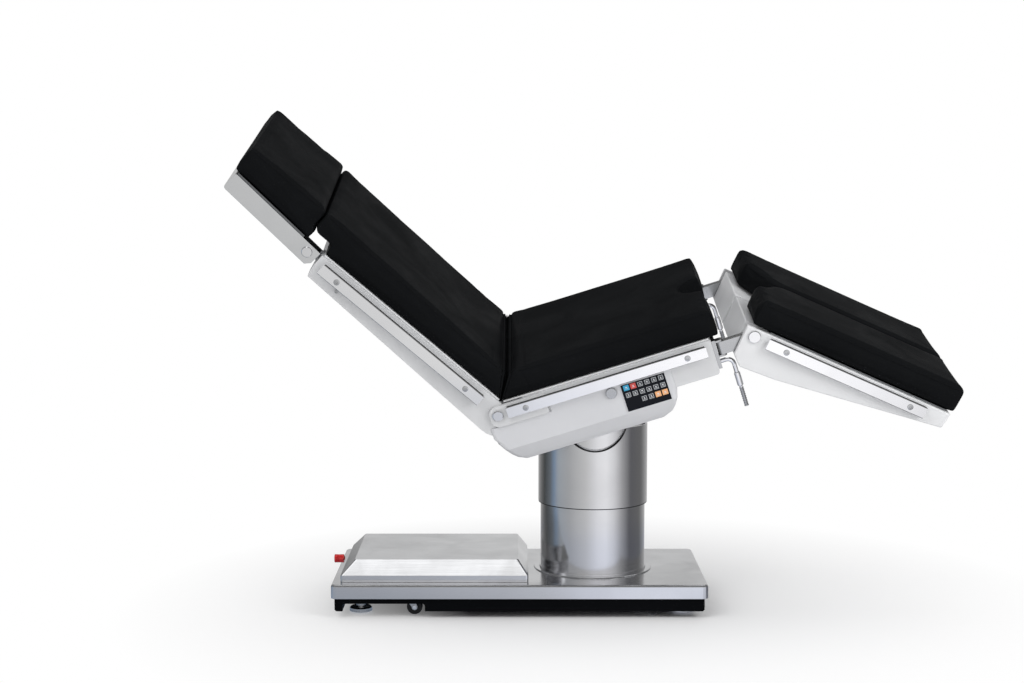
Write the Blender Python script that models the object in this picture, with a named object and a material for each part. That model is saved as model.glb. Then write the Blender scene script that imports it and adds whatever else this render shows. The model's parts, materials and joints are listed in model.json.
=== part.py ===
"""Operating table: wheeled base, telescopic column and a tilting top in padded sections.

Metres, +Z up, floor at z = 0. The head end points to -X and the foot end to +X, so the left side is
+Y. The rest pose is the photographed one. The base is drawn round the column axis, and each section
flat in the frame of its own hinge, x along the table, y across it and z out of the pads. The hinge's
empty turns it. Last, all of it moves so that the origin lies under the middle of the object.
"""

import math

import bmesh
import bpy
from mathutils import Matrix, Vector

# Rest pose, degrees
LATERAL_TILT = 13.0
TRENDELENBURG = 18.0
BACK_ANGLE = 59.5
HEAD_ANGLE = 4.0
LEG_ANGLE = 42.4

# From the column axis to the middle of the whole object, seen from above
MIDDLE = (0.015, -0.050)

# Clearances
GAP = 0.0003
RUNNING = 0.0006

# Base
BASE_HEAD_END = -0.666
BASE_FOOT_END = 0.282
BASE_HALF_WIDTH = 0.2265
BASE_CORNER = 0.014
DECK_TOP = 0.087
DECK_BAND = 0.035
DECK_EDGE = 0.005
DECK_SHEET = 0.003
PLINTH_RECESS = 0.0085
PLINTH_BOTTOM = 0.018
PLINTH_ARCH = 0.020
PLINTH_TOE = 0.020
PLINTH_STEP = -0.430
HOOD_HEAD_END = -0.644
HOOD_FOOT_END = -0.1695
HOOD_HALF_WIDTH = 0.194
HOOD_SKIRT = 0.017
HOOD_RISE = 0.036
HOOD_HEAD_SLOPE = 0.035
HOOD_FOOT_SLOPE = 0.026
HOOD_SIDE_SLOPE = 0.028
HOOD_SHEET = 0.002
HOOD_CORNER = 0.006

# Stop knob
KNOB_HEIGHT = 0.1075
KNOB_RADIUS = 0.0095
KNOB_NECK = 0.0055
KNOB_STEM = 0.0040
KNOB_END = -0.6765
KNOB_LENGTH = 0.026
KNOB_STEM_END = -0.620

# Castors and jacks
CASTOR_X = {"head": -0.474, "foot": 0.130}
CASTOR_Y = 0.165
CASTOR_POCKET = 0.040
CASTOR_TRAIL = 0.016
WHEEL_RADIUS = 0.020
WHEEL_HALF_WIDTH = 0.009
WHEEL_HUB = 0.0085
AXLE_RADIUS = 0.0035
FORK_INNER = 0.0115
FORK_OUTER = 0.0145
FORK_BOSS = 0.0075
FORK_DISC = 0.015
FORK_DISC_BOTTOM = 0.0460
FORK_TOP = 0.0494
FORK_STEM = 0.007
FORK_STEM_LENGTH = 0.016
JACK_X = {"head": -0.596, "foot": 0.225}
JACK_Y = 0.150
JACK_RADIUS = 0.0285
JACK_BOTTOM = 0.006
JACK_DISC = 0.011
JACK_EDGE = 0.003
JACK_STEM = 0.012
JACK_STEM_TOP = 0.066

# Column
COLUMN_RADIUS = 0.1360
COLUMN_WALL = 0.003
COLUMN_TOP = 0.285
COLUMN_FLARE = 0.0025
COLUMN_FLARE_HEIGHT = 0.007
RING_RADIUS = 0.154
RING_THICKNESS = 0.0022
STAGE_BOTTOM = 0.1625
STAGE_TOP = 0.365
SLEEVE_RADIUS = 0.142
SLEEVE_BOTTOM = 0.264
SLEEVE_TOP = 0.470
RELIEF_RADIUS = 0.083
RELIEF_HEIGHT = 0.4945
LIFT_WALL = 0.009
LIFT_BOTTOM = 0.2405
LIFT_TOP = 0.462
LIFT_PLATE = 0.008
FLANGE_TOP = 0.452
FLANGE_THICKNESS = 0.012
NECK_RADIUS = 0.095
NECK_WALL = 0.005
NECK_TOP = 0.540

# Tilt head
PIVOT_X = 0.034
PIVOT_HEIGHT = 0.633
LUG_START = 0.044
LUG_THICKNESS = 0.014
LUG_FOOT = 0.050
LUG_EYE = 0.022
TILT_SHAFT = 0.012
TILT_SHAFT_END = 0.064
CROSS_SHAFT = 0.011
YOKE_LENGTH = 0.080
YOKE_WIDTH = 0.070
YOKE_HEIGHT = 0.044
CAP_RADIUS = 0.014
CAP_HEIGHT = 0.006

# Widths, each from the middle of the table
PAD_HALF = 0.250
PLATE_OUTER = 0.2525
PLATE_INNER = 0.240
SHELL_INNER = 0.253
SHELL_OUTER = 0.256
EAR_OUTER = 0.262
EAR_ROOT = 0.246
RAIL_INNER = 0.264
RAIL_OUTER = 0.274
RAIL_HEIGHT = 0.029
RAIL_EDGE = 0.0015
RAIL_BOSS = 0.0085
RAIL_SCREW = 0.0062
RAIL_SCREW_DEPTH = 0.0012

# Levels above a hinge or pivot
HINGE_LEVEL = 0.031
SEAT_PLATE_TOP = 0.054
BACK_PLATE_TOP = 0.026
HEAD_PLATE_TOP = 0.019
LEG_PLATE_TOP = 0.0195
BOARD = 0.004
BOARD_INSET = 0.004

# Seat section, from the tilt pivot
SEAT_HEAD_END = -0.213
SEAT_FOOT_END = 0.270
SEAT_PLATE_BOTTOM = -0.037
SEAT_BEAM = 0.026
SEAT_BEAM_BOTTOM = -0.006
SEAT_BEAM_TOP = 0.050
SEAT_BOARD_HEAD = -0.262
SEAT_BOARD_FOOT = 0.267
SEAT_RAIL = (-0.259, 0.254)
SEAT_RAIL_LEVEL = 0.034
SEAT_RAIL_SCREWS = (-0.211, 0.204)
SEAT_PAD_TOP = 0.1255
SEAT_PAD_FOOT = (0.296, 0.289)
NOTCH_RADIUS = 0.062
EAR_HEAD_END = -0.305
EAR_FOOT_END = -0.160
EAR_CORNER = 0.020

# Moulded housing under the seat, from the tilt pivot
HOUSING_TOP = 0.0145
HOUSING_STEP = -0.155
HOUSING_STEP_TOP = -0.001
HOUSING_END_WALL_TOP = -0.046
HOUSING_SKIN = 0.003
HOUSING_LEVELS = (
    (HOUSING_TOP, -0.3180, 0.1610, 0.2560),
    (HOUSING_STEP_TOP, -0.3180, 0.1610, 0.2560),
    (-0.0295, -0.3180, 0.1610, 0.2560),
    (-0.0660, -0.2974, 0.1520, 0.2560),
    (-0.0860, -0.2860, 0.1420, 0.2465),
    (-0.1000, -0.2745, 0.1310, 0.2395),
    (-0.1100, -0.2590, 0.1120, 0.2330),
)
HOUSING_CORNER = 0.012
HOUSING_MOUTH = (-0.254, 0.165, 0.200)
HOUSING_MOUTH_TOP = -0.075
HOUSING_MOUTH_CORNER = 0.030

# Keypad, from the tilt pivot
KEYPAD_X = (0.0255, 0.1385)
KEYPAD_Z = (-0.0610, 0.0115)
KEYPAD_CORNER = 0.003
KEYPAD_THICKNESS = 0.0015

# Back section, from the hip hinge
HIP_X = -0.284
HIP_RADIUS = 0.0585
HIP_NECK = 0.0215
PIN_RADIUS = 0.0085
PIN_DEPTH = 0.215
PIN_CAP = 0.0135
PIN_CAP_HEIGHT = 0.0055
BACK_END = 0.587
BACK_END_STEP = 0.0064
BACK_END_STEP_LEVEL = -0.0078
BACK_END_DEPTH = 0.0375
BACK_BOARD = (0.022, 0.582)
BACK_RAIL = (0.060, 0.571)
BACK_RAIL_LEVEL = 0.003
BACK_RAIL_SCREWS = (0.1095, 0.5203)
BACK_PAD_TOP = (0.0920, 0.1125)
BACK_PAD_END = 0.6445
BACK_PAD_STEP = 0.585
BACK_PAD_STEP_LEVEL = 0.058
BACK_PAD_LIP = (0.0125, 0.010)
PADS_MEET_AT = 70.0

# Head section, from the neck hinge
NECK_X = 0.6206
NECK_LEVEL = 0.009
HEAD_START = -0.0266
HEAD_END = 0.2504
HEAD_DEPTH = 0.027
HEAD_HEEL = (0.0110, 0.0130)
HEAD_BOARD = (0.030, 0.246)
HEAD_PAD_NECK = ((0.0175, 0.0350), (0.0215, 0.0475), (0.0300, 0.0560), (0.0330, 0.1050))
HEAD_PAD_CROWN = ((0.2670, 0.0895), (0.2615, 0.0475))
NECK_LUG = (0.200, 0.212)
NECK_LUG_RADIUS = 0.0135
NECK_LUG_ROOT = 0.575
NECK_SLOT_END = 0.0170
NECK_GATE = 0.566
NECK_GATE_HALF = 0.198
NECK_PIN_DEPTH = 0.190

# Leg sections, from the knee hinge
KNEE_X = 0.375
LEG_START = -0.028
LEG_END = 0.535
LEG_HEEL = (-0.025, -0.062)
LEG_HEEL_BOTTOM = (0.0015, -0.085)
LEG_BELLY = (0.096, -0.0800)
LEG_TOE = (0.531, -0.0215)
LEG_INNER = 0.008
LEG_BOARD = (0.034, 0.522)
LEG_RAIL = (0.034, 0.469)
LEG_RAIL_LEVEL = 0.0
LEG_RAIL_SCREWS = (0.085, 0.427)
LEG_PAD = (-0.018, 0.5445)
LEG_PAD_TOP = 0.0895
LEG_PAD_EDGE = 0.006
LEG_PAD_INNER = 0.004
LEG_PAD_CROTCH = ((0.070, 0.0), (0.036, 0.028), (0.010, 0.070), (0.0, 0.102))
KNEE_PIN_CAP = 0.0155
KNEE_PIN_CAP_HEIGHT = 0.0045
KNEE_PIN_DEPTH = 0.200
KNEE_BAY = (0.2185, 0.2455)
KNEE_BAY_END = 0.029
LEVER_BAY_END = 0.130
LEVER_BAY_LEVEL = -0.058

# Knee knuckles, from the tilt pivot
SWIVEL_X = 0.290
SWIVEL_Y = 0.232
SWIVEL_PIN = 0.006
KNUCKLE_RADIUS = 0.0100
KNEE_ARM_LEVELS = (0.006, 0.039)
KNEE_ARM_WIDTH = 0.020
KNEE_ARM_END = 0.012
BLOCK_FACE = 0.2793
BLOCK_LEVELS = (-0.024, 0.050)
BLOCK_WIDTHS = (0.212, 0.2525)
SWIVEL_LUG = 0.005

# Clamp levers, from the tilt pivot
LEVER_X = 0.3095
LEVER_Y = 0.227
LEVER_LEVEL = -0.014
LEVER_PIN = 0.0040
LEVER_NECK = 0.0056
LEVER_GRIP = 0.0042
LEVER_BEND = 0.016
LEVER_SHOULDER = -0.084
LEVER_TIP = -0.1460

SIDES = {"left": 1, "right": -1}
PAD_SLANT = math.tan(math.radians((180.0 - PADS_MEET_AT) / 2))
BASE_BAND_BOTTOM = DECK_TOP - DECK_BAND


def clear_scene():
    for obj in list(bpy.data.objects):
        bpy.data.objects.remove(obj, do_unlink=True)


def finish(name, colour, roughness, metallic=0.0):
    """A Principled material with one plain colour."""
    material = bpy.data.materials.new(name)
    material.use_nodes = True
    shader = material.node_tree.nodes["Principled BSDF"]
    shader.inputs["Base Color"].default_value = (*colour, 1.0)
    shader.inputs["Roughness"].default_value = roughness
    shader.inputs["Metallic"].default_value = metallic
    material.diffuse_color = (*colour, 1.0)
    return material


def axis_empty(name, location, turn=(0.0, 0.0, 0.0), parent=None):
    """A hinge: an empty on the joint axis, turned by degrees about X, Y and Z."""
    hinge = bpy.data.objects.new(name, None)
    hinge.empty_display_size = 0.05
    hinge.location = location
    hinge.rotation_euler = [math.radians(angle) for angle in turn]
    hinge.parent = parent
    bpy.context.scene.collection.objects.link(hinge)
    return hinge


def add(name, form, material=None, parent=None, location=(0.0, 0.0, 0.0)):
    """One named object from a bmesh, faces outwards and smooth over its round sides."""
    bmesh.ops.remove_doubles(form, verts=form.verts, dist=1e-6)
    bmesh.ops.recalc_face_normals(form, faces=form.faces)
    mesh = bpy.data.meshes.new(name)
    form.to_mesh(mesh)
    form.free()
    mesh.shade_smooth()
    mesh.set_sharp_from_angle(angle=math.radians(35))
    if material:
        mesh.materials.append(material)
    obj = bpy.data.objects.new(name, mesh)
    obj.location = location
    obj.parent = parent
    bpy.context.scene.collection.objects.link(obj)
    return obj


def combine(target, operation, *forms):
    """Joins forms to an object, or cuts them from it. The forms stay as hidden wire shapes."""
    for form in forms:
        tool = add(f"{target.name}.tool", form, None, target.parent, target.location)
        tool.hide_render = True
        tool.display_type = "WIRE"
        step = target.modifiers.new(operation.title(), "BOOLEAN")
        step.operation = operation
        step.solver = "EXACT"
        step.object = tool
    return target


def soften(obj, width, segments=2):
    """Rounds the sharp edges."""
    edge = obj.modifiers.new("Rounded edges", "BEVEL")
    edge.width = width
    edge.segments = segments
    edge.limit_method = "ANGLE"
    edge.angle_limit = math.radians(40)
    return obj


def arc(centre, radius, start, end, steps=6):
    """Points on an arc, angles in degrees."""
    angles = [math.radians(start + (end - start) * i / steps) for i in range(steps + 1)]
    return [(centre[0] + radius * math.cos(a), centre[1] + radius * math.sin(a)) for a in angles]


def rounded(corners, steps=3):
    """An outline from (x, y, fillet radius) corners."""
    points = []
    for i, (x, y, radius) in enumerate(corners):
        if not radius:
            points.append((x, y))
            continue
        corner = Vector((x, y))
        back = (Vector(corners[i - 1][:2]) - corner).normalized()
        ahead = (Vector(corners[(i + 1) % len(corners)][:2]) - corner).normalized()
        half = back.angle(ahead) / 2
        centre = corner + (back + ahead).normalized() * radius / math.sin(half)
        first = corner + back * radius / math.tan(half) - centre
        last = corner + ahead * radius / math.tan(half) - centre
        start = math.degrees(math.atan2(first.y, first.x))
        sweep = (math.degrees(math.atan2(last.y, last.x)) - start + 180) % 360 - 180
        points += arc(centre, radius, start, start + sweep, steps)
    return points


def rectangle(x0, x1, y0, y1, radius=0.0, steps=3):
    return rounded([(x0, y0, radius), (x1, y0, radius), (x1, y1, radius), (x0, y1, radius)], steps)


def flipped(points):
    """The same outline on the head side of its hinge."""
    return [(-x, z) for x, z in points]


def prism(points, start, end, along="Y"):
    """An outline drawn out along an axis: (x, z) along Y, (x, y) along Z, (y, z) along X."""
    place = {
        "X": lambda a, b, c: (c, a, b),
        "Y": lambda a, b, c: (a, c, b),
        "Z": lambda a, b, c: (a, b, c),
    }[along]
    form = bmesh.new()
    face = form.faces.new([form.verts.new(place(a, b, start)) for a, b in points])
    moved = bmesh.ops.extrude_face_region(form, geom=[face])["geom"]
    far = [item for item in moved if isinstance(item, bmesh.types.BMVert)]
    bmesh.ops.translate(form, verts=far, vec=place(0.0, 0.0, end - start))
    return form


def box(x0, x1, y0, y1, z0, z1):
    return prism(rectangle(x0, x1, y0, y1), z0, z1, "Z")


def loft(outlines):
    """A solid through (outline, height) pairs whose outlines have equal numbers of points."""
    form = bmesh.new()
    rings = [[form.verts.new((x, y, z)) for x, y in points] for points, z in outlines]
    form.faces.new(rings[0])
    form.faces.new(rings[-1])
    for low, high in zip(rings, rings[1:]):
        for i in range(len(low)):
            j = (i + 1) % len(low)
            form.faces.new((low[i], low[j], high[j], high[i]))
    return form


def turned(profile, along="Z", centre=(0.0, 0.0, 0.0), steps=32):
    """A closed (radius, height) profile spun about an axis through the centre."""
    form = bmesh.new()
    verts = [form.verts.new((r, 0.0, h)) for r, h in profile]
    edges = []
    for i, (r, _) in enumerate(profile):
        j = (i + 1) % len(profile)
        if r > 0 or profile[j][0] > 0:
            edges.append(form.edges.new((verts[i], verts[j])))
    bmesh.ops.spin(
        form, geom=verts + edges, axis=(0, 0, 1), cent=(0, 0, 0), angle=math.tau, steps=steps
    )
    turn = {
        "X": Matrix.Rotation(math.pi / 2, 3, "Y"),
        "Y": Matrix.Rotation(-math.pi / 2, 3, "X"),
        "Z": Matrix.Identity(3),
    }[along]
    bmesh.ops.rotate(form, verts=form.verts, matrix=turn)
    bmesh.ops.translate(form, verts=form.verts, vec=centre)
    return form


def rod(radius, start, end, along="Z", centre=(0.0, 0.0, 0.0), steps=20):
    return turned([(0, start), (radius, start), (radius, end), (0, end)], along, centre, steps)


def swept(stations, steps=12):
    """A round bar in the XZ plane through (x, z, radius, heading) stations, heading in degrees."""
    form = bmesh.new()
    rings = []
    for x, z, radius, heading in stations:
        lean = math.radians(heading)
        ring = []
        for i in range(steps):
            turn = math.tau * i / steps
            rise = radius * math.sin(turn)
            point = (x - rise * math.sin(lean), radius * math.cos(turn), z + rise * math.cos(lean))
            ring.append(form.verts.new(point))
        rings.append(ring)
    form.faces.new(rings[0])
    form.faces.new(rings[-1])
    for near, far in zip(rings, rings[1:]):
        for i in range(steps):
            j = (i + 1) % steps
            form.faces.new((near[i], near[j], far[j], far[i]))
    return form


def base_outline(inset):
    return rectangle(
        BASE_HEAD_END + inset,
        BASE_FOOT_END - inset,
        inset - BASE_HALF_WIDTH,
        BASE_HALF_WIDTH - inset,
        max(BASE_CORNER - inset, 0.004),
    )


def make_deck(steel):
    """Stainless tray with a rolled top edge, open below."""
    deck = add(
        "base_deck",
        loft(
            [
                (base_outline(0.0), BASE_BAND_BOTTOM),
                (base_outline(0.0), DECK_TOP - DECK_EDGE),
                (base_outline(DECK_EDGE * 0.3), DECK_TOP - DECK_EDGE * 0.3),
                (base_outline(DECK_EDGE), DECK_TOP),
            ]
        ),
        steel,
    )
    combine(deck, "DIFFERENCE", prism(base_outline(DECK_SHEET), 0.0, DECK_TOP - DECK_SHEET, "Z"))


def make_chassis(black):
    """Cast plinth with an arch under the head end, castor pockets and jack bores."""
    top = DECK_TOP - DECK_SHEET - GAP
    form = loft(
        [
            (base_outline(PLINTH_RECESS + 0.003), PLINTH_BOTTOM),
            (base_outline(PLINTH_RECESS), PLINTH_BOTTOM + 0.004),
            (base_outline(PLINTH_RECESS), top),
        ]
    )
    chassis = add("base_chassis", form, black)
    toe = BASE_HEAD_END + PLINTH_RECESS + PLINTH_TOE
    arch_top = PLINTH_BOTTOM + PLINTH_ARCH
    arch = rounded(
        [(toe, -0.02, 0), (PLINTH_STEP, -0.02, 0), (PLINTH_STEP, arch_top, 0.006), (toe, arch_top, 0.006)]
    )
    combine(chassis, "DIFFERENCE", prism(arch, -0.3, 0.3))
    stem_top = FORK_TOP + FORK_STEM_LENGTH + 0.001
    for x in CASTOR_X.values():
        for side in SIDES.values():
            profile = [
                (0, 0),
                (CASTOR_POCKET, 0),
                (CASTOR_POCKET, FORK_TOP + RUNNING),
                (FORK_STEM + RUNNING, FORK_TOP + RUNNING),
                (FORK_STEM + RUNNING, stem_top),
                (0, stem_top),
            ]
            combine(chassis, "DIFFERENCE", turned(profile, centre=(x, side * CASTOR_Y, 0), steps=18))
    for x in JACK_X.values():
        for side in SIDES.values():
            bore = rod(JACK_STEM + RUNNING, 0, JACK_STEM_TOP + 0.002, "Z", (x, side * JACK_Y, 0), 16)
            combine(chassis, "DIFFERENCE", bore)


def hood_outline(rise, inset):
    """Plan of the drive hood at a share of its slope."""
    return rectangle(
        HOOD_HEAD_END + HOOD_HEAD_SLOPE * rise + inset,
        HOOD_FOOT_END - HOOD_FOOT_SLOPE * rise - inset,
        HOOD_SIDE_SLOPE * rise + inset - HOOD_HALF_WIDTH,
        HOOD_HALF_WIDTH - HOOD_SIDE_SLOPE * rise - inset,
        HOOD_CORNER - inset,
    )


def make_hood(steel):
    """Folded sheet cover over the drive, with a bore for the stop knob."""
    bottom = DECK_TOP + GAP
    fold = bottom + HOOD_SKIRT
    top = fold + HOOD_RISE
    hood = add(
        "drive_hood",
        loft([(hood_outline(0, 0), bottom), (hood_outline(0, 0), fold), (hood_outline(1, 0), top)]),
        steel,
    )
    inside = loft(
        [
            (hood_outline(0, HOOD_SHEET), bottom - 0.01),
            (hood_outline(0, HOOD_SHEET), fold),
            (hood_outline(1, HOOD_SHEET), top - HOOD_SHEET),
        ]
    )
    bore = rod(KNOB_STEM + RUNNING, HOOD_HEAD_END - 0.01, KNOB_STEM_END, "X", (0, 0, KNOB_HEIGHT))
    combine(hood, "DIFFERENCE", inside, bore)


def make_knob(red):
    """Mushroom stop knob that pushes in along X."""
    profile = [
        (0, 0),
        (KNOB_RADIUS * 0.8, 0),
        (KNOB_RADIUS, 0.003),
        (KNOB_RADIUS, 0.008),
        (KNOB_NECK, 0.016),
        (KNOB_NECK, KNOB_LENGTH),
        (KNOB_STEM, KNOB_LENGTH),
        (KNOB_STEM, KNOB_STEM_END - KNOB_END),
        (0, KNOB_STEM_END - KNOB_END),
    ]
    add("emergency_knob", turned(profile, "X", steps=24), red, None, (KNOB_END, 0, KNOB_HEIGHT))


def make_castor(corner, x, side, steel, tread):
    """One swivel fork with its wheel, the wheel's origin on the axle."""
    y = side * CASTOR_Y
    plate = [(0, FORK_DISC_BOTTOM), (FORK_DISC, FORK_DISC_BOTTOM), (FORK_DISC, FORK_TOP)]
    stem = [(FORK_STEM, FORK_TOP), (FORK_STEM, FORK_TOP + FORK_STEM_LENGTH), (0, FORK_TOP + FORK_STEM_LENGTH)]
    fork = add(f"castor_fork_{corner}", turned(plate + stem, steps=16), steel, None, (x, y, 0))
    cheek = [(-0.011, FORK_DISC_BOTTOM + 0.002), (0.013, FORK_DISC_BOTTOM + 0.002)]
    cheek += arc((CASTOR_TRAIL, WHEEL_RADIUS), FORK_BOSS, 15, -190, 6)
    for hand in SIDES.values():
        combine(fork, "UNION", prism(cheek, hand * FORK_INNER, hand * FORK_OUTER))
    axle = (CASTOR_TRAIL, 0, WHEEL_RADIUS)
    combine(fork, "DIFFERENCE", rod(AXLE_RADIUS + RUNNING, -0.02, 0.02, "Y", axle, 12))
    half = [
        (AXLE_RADIUS, FORK_OUTER - GAP),
        (AXLE_RADIUS, WHEEL_HALF_WIDTH + 0.001),
        (WHEEL_HUB, WHEEL_HALF_WIDTH + 0.001),
        (WHEEL_HUB, WHEEL_HALF_WIDTH - 0.0015),
        (WHEEL_RADIUS - 0.0025, WHEEL_HALF_WIDTH),
        (WHEEL_RADIUS, WHEEL_HALF_WIDTH - 0.0025),
    ]
    profile = [(0, FORK_OUTER - GAP)] + half + [(r, -h) for r, h in half[::-1]] + [(0, GAP - FORK_OUTER)]
    place = (x + CASTOR_TRAIL, y, WHEEL_RADIUS)
    add(f"castor_wheel_{corner}", turned(profile, "Y", steps=18), tread, None, place)


def make_jack(corner, x, side, steel):
    """Levelling foot on its ram."""
    top = JACK_BOTTOM + JACK_DISC
    profile = [
        (0, JACK_BOTTOM),
        (JACK_RADIUS - JACK_EDGE, JACK_BOTTOM),
        (JACK_RADIUS, JACK_BOTTOM + JACK_EDGE),
        (JACK_RADIUS, top - JACK_EDGE),
        (JACK_RADIUS - JACK_EDGE, top),
        (JACK_STEM, top),
        (JACK_STEM, JACK_STEM_TOP),
        (0, JACK_STEM_TOP),
    ]
    add(f"jack_foot_{corner}", turned(profile, steps=24), steel, None, (x, side * JACK_Y, 0))


def tube(outer, wall, bottom, top):
    return turned([(outer - wall, bottom), (outer, bottom), (outer, top), (outer - wall, top)], steps=48)


def relief():
    """Round cut along Y that clears the tilting top."""
    return rod(RELIEF_RADIUS, -0.2, 0.2, "Y", (0, 0, RELIEF_HEIGHT), 48)


def make_column(steel):
    """Fixed column, its floor ring, the sliding stage and the outer sleeve."""
    bottom = DECK_TOP + GAP
    flare = COLUMN_RADIUS + COLUMN_FLARE
    profile = [
        (COLUMN_RADIUS - COLUMN_WALL, bottom),
        (flare, bottom),
        (flare, bottom + COLUMN_FLARE_HEIGHT),
        (COLUMN_RADIUS, bottom + COLUMN_FLARE_HEIGHT + COLUMN_FLARE),
        (COLUMN_RADIUS, COLUMN_TOP),
        (COLUMN_RADIUS - COLUMN_WALL, COLUMN_TOP),
    ]
    add("lower_column", turned(profile, steps=48), steel)
    ring_top = bottom + RING_THICKNESS
    ring = [(flare + RUNNING, bottom), (RING_RADIUS, bottom), (RING_RADIUS - 0.0015, ring_top)]
    add("column_ring", turned(ring + [(flare + RUNNING, ring_top)], steps=48), steel)
    stage = COLUMN_RADIUS - COLUMN_WALL - RUNNING
    add("column_stage", tube(stage, COLUMN_WALL, STAGE_BOTTOM, STAGE_TOP), steel)
    sleeve = add("column_sleeve", tube(SLEEVE_RADIUS, COLUMN_WALL, SLEEVE_BOTTOM, SLEEVE_TOP), steel)
    combine(sleeve, "DIFFERENCE", relief())


def make_column_head(steel):
    """Lifting tube with its flange, neck and the two lugs of the tilt shaft."""
    outer = COLUMN_RADIUS - 2 * COLUMN_WALL - 2 * RUNNING
    flange = SLEEVE_RADIUS - COLUMN_WALL - GAP
    profile = [
        (0, LIFT_TOP - LIFT_PLATE),
        (outer - LIFT_WALL, LIFT_TOP - LIFT_PLATE),
        (outer - LIFT_WALL, LIFT_BOTTOM),
        (outer, LIFT_BOTTOM),
        (outer, FLANGE_TOP - FLANGE_THICKNESS),
        (flange, FLANGE_TOP - FLANGE_THICKNESS),
        (flange, FLANGE_TOP),
        (outer, FLANGE_TOP),
        (outer, LIFT_TOP),
        (NECK_RADIUS, LIFT_TOP),
        (NECK_RADIUS, NECK_TOP),
        (NECK_RADIUS - NECK_WALL, NECK_TOP),
        (NECK_RADIUS - NECK_WALL, LIFT_TOP),
        (0, LIFT_TOP),
    ]
    head = add("column_head", turned(profile, steps=36), steel)
    for side in SIDES.values():
        low, high = FLANGE_TOP - FLANGE_THICKNESS - 0.001, FLANGE_TOP + 0.001
        slot = box(-RELIEF_RADIUS, RELIEF_RADIUS, side * (outer - 0.001), side * SLEEVE_RADIUS, low, high)
        combine(head, "DIFFERENCE", slot)
    lug = [(-LUG_FOOT, LIFT_TOP - 0.004), (LUG_FOOT, LIFT_TOP - 0.004)]
    lug += arc((0, PIVOT_HEIGHT), LUG_EYE, 0, 180, 8)
    for side in SIDES.values():
        start = PIVOT_X + side * LUG_START
        combine(head, "UNION", prism(lug, start, start + side * LUG_THICKNESS, "X"))
    shaft = rod(TILT_SHAFT + RUNNING, -0.1, 0.1, "X", (PIVOT_X, 0, PIVOT_HEIGHT), 16)
    combine(head, "DIFFERENCE", shaft)


def make_yoke(steel, lateral):
    """Cross-shaped link: tilt shaft along X, cross shaft along Y."""
    half = [YOKE_LENGTH / 2, YOKE_WIDTH / 2, YOKE_HEIGHT / 2]
    yoke = add(
        "tilt_yoke",
        box(-half[0], half[0], -half[1], half[1], -half[2], half[2]),
        steel,
        lateral,
    )
    end = SHELL_OUTER + GAP
    cross = [(0, -end - CAP_HEIGHT), (CAP_RADIUS - 0.001, -end - CAP_HEIGHT), (CAP_RADIUS, 0.001 - end - CAP_HEIGHT)]
    cross += [(CAP_RADIUS, -end), (CROSS_SHAFT, -end)]
    cross += [(r, -h) for r, h in cross[::-1]]
    tilt = rod(TILT_SHAFT, -TILT_SHAFT_END, TILT_SHAFT_END, "X", steps=16)
    combine(yoke, "UNION", tilt, turned(cross, "Y", steps=20))


def make_seat_frame(paint, seat):
    """Two side plates with hip ears, and two cross beams."""
    plate = rounded(
        [
            (SEAT_HEAD_END, SEAT_PLATE_BOTTOM, 0.006),
            (SEAT_FOOT_END, SEAT_PLATE_BOTTOM, 0.008),
            (SEAT_FOOT_END, SEAT_PLATE_TOP, 0),
            (SEAT_HEAD_END, SEAT_PLATE_TOP, 0),
        ]
    )
    ear = rounded(
        [
            (EAR_HEAD_END, 0.0, EAR_CORNER),
            (EAR_FOOT_END, 0.0, 0.004),
            (EAR_FOOT_END, SEAT_PLATE_TOP, 0.004),
            (EAR_HEAD_END, SEAT_PLATE_TOP, EAR_CORNER),
        ],
        5,
    )
    root = rectangle(SEAT_HEAD_END + 0.001, EAR_FOOT_END - 0.005, 0.008, SEAT_PLATE_TOP - 0.004)
    for name, side in SIDES.items():
        frame = add(f"seat_side_{name}", prism(plate, side * PLATE_INNER, side * PLATE_OUTER), paint, seat)
        combine(frame, "UNION", prism(root, side * EAR_ROOT, side * (EAR_OUTER - 0.002)))
        combine(frame, "UNION", prism(ear, side * (PLATE_OUTER + GAP), side * EAR_OUTER))
        hip = rod(PIN_RADIUS + RUNNING, side * 0.23, side * 0.28, "Y", (HIP_X, 0, HINGE_LEVEL))
        shaft = rod(CROSS_SHAFT + RUNNING, side * 0.23, side * 0.28, "Y")
        combine(frame, "DIFFERENCE", hip, shaft)
    reach = PLATE_INNER - GAP
    for name, x in (("head", SEAT_HEAD_END), ("foot", SEAT_FOOT_END - SEAT_BEAM)):
        beam = box(x, x + SEAT_BEAM, -reach, reach, SEAT_BEAM_BOTTOM, SEAT_BEAM_TOP)
        soften(add(f"seat_beam_{name}", beam, paint, seat), 0.002, 1)


def housing_levels(inset):
    """Plan outlines of the housing at its levels, shrunk by the inset."""
    outlines = []
    for level, head, foot, half in HOUSING_LEVELS:
        half -= inset
        plan = rectangle(head + inset, foot - inset, -half, half, HOUSING_CORNER - inset)
        outlines.append((plan, level))
    return outlines


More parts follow.
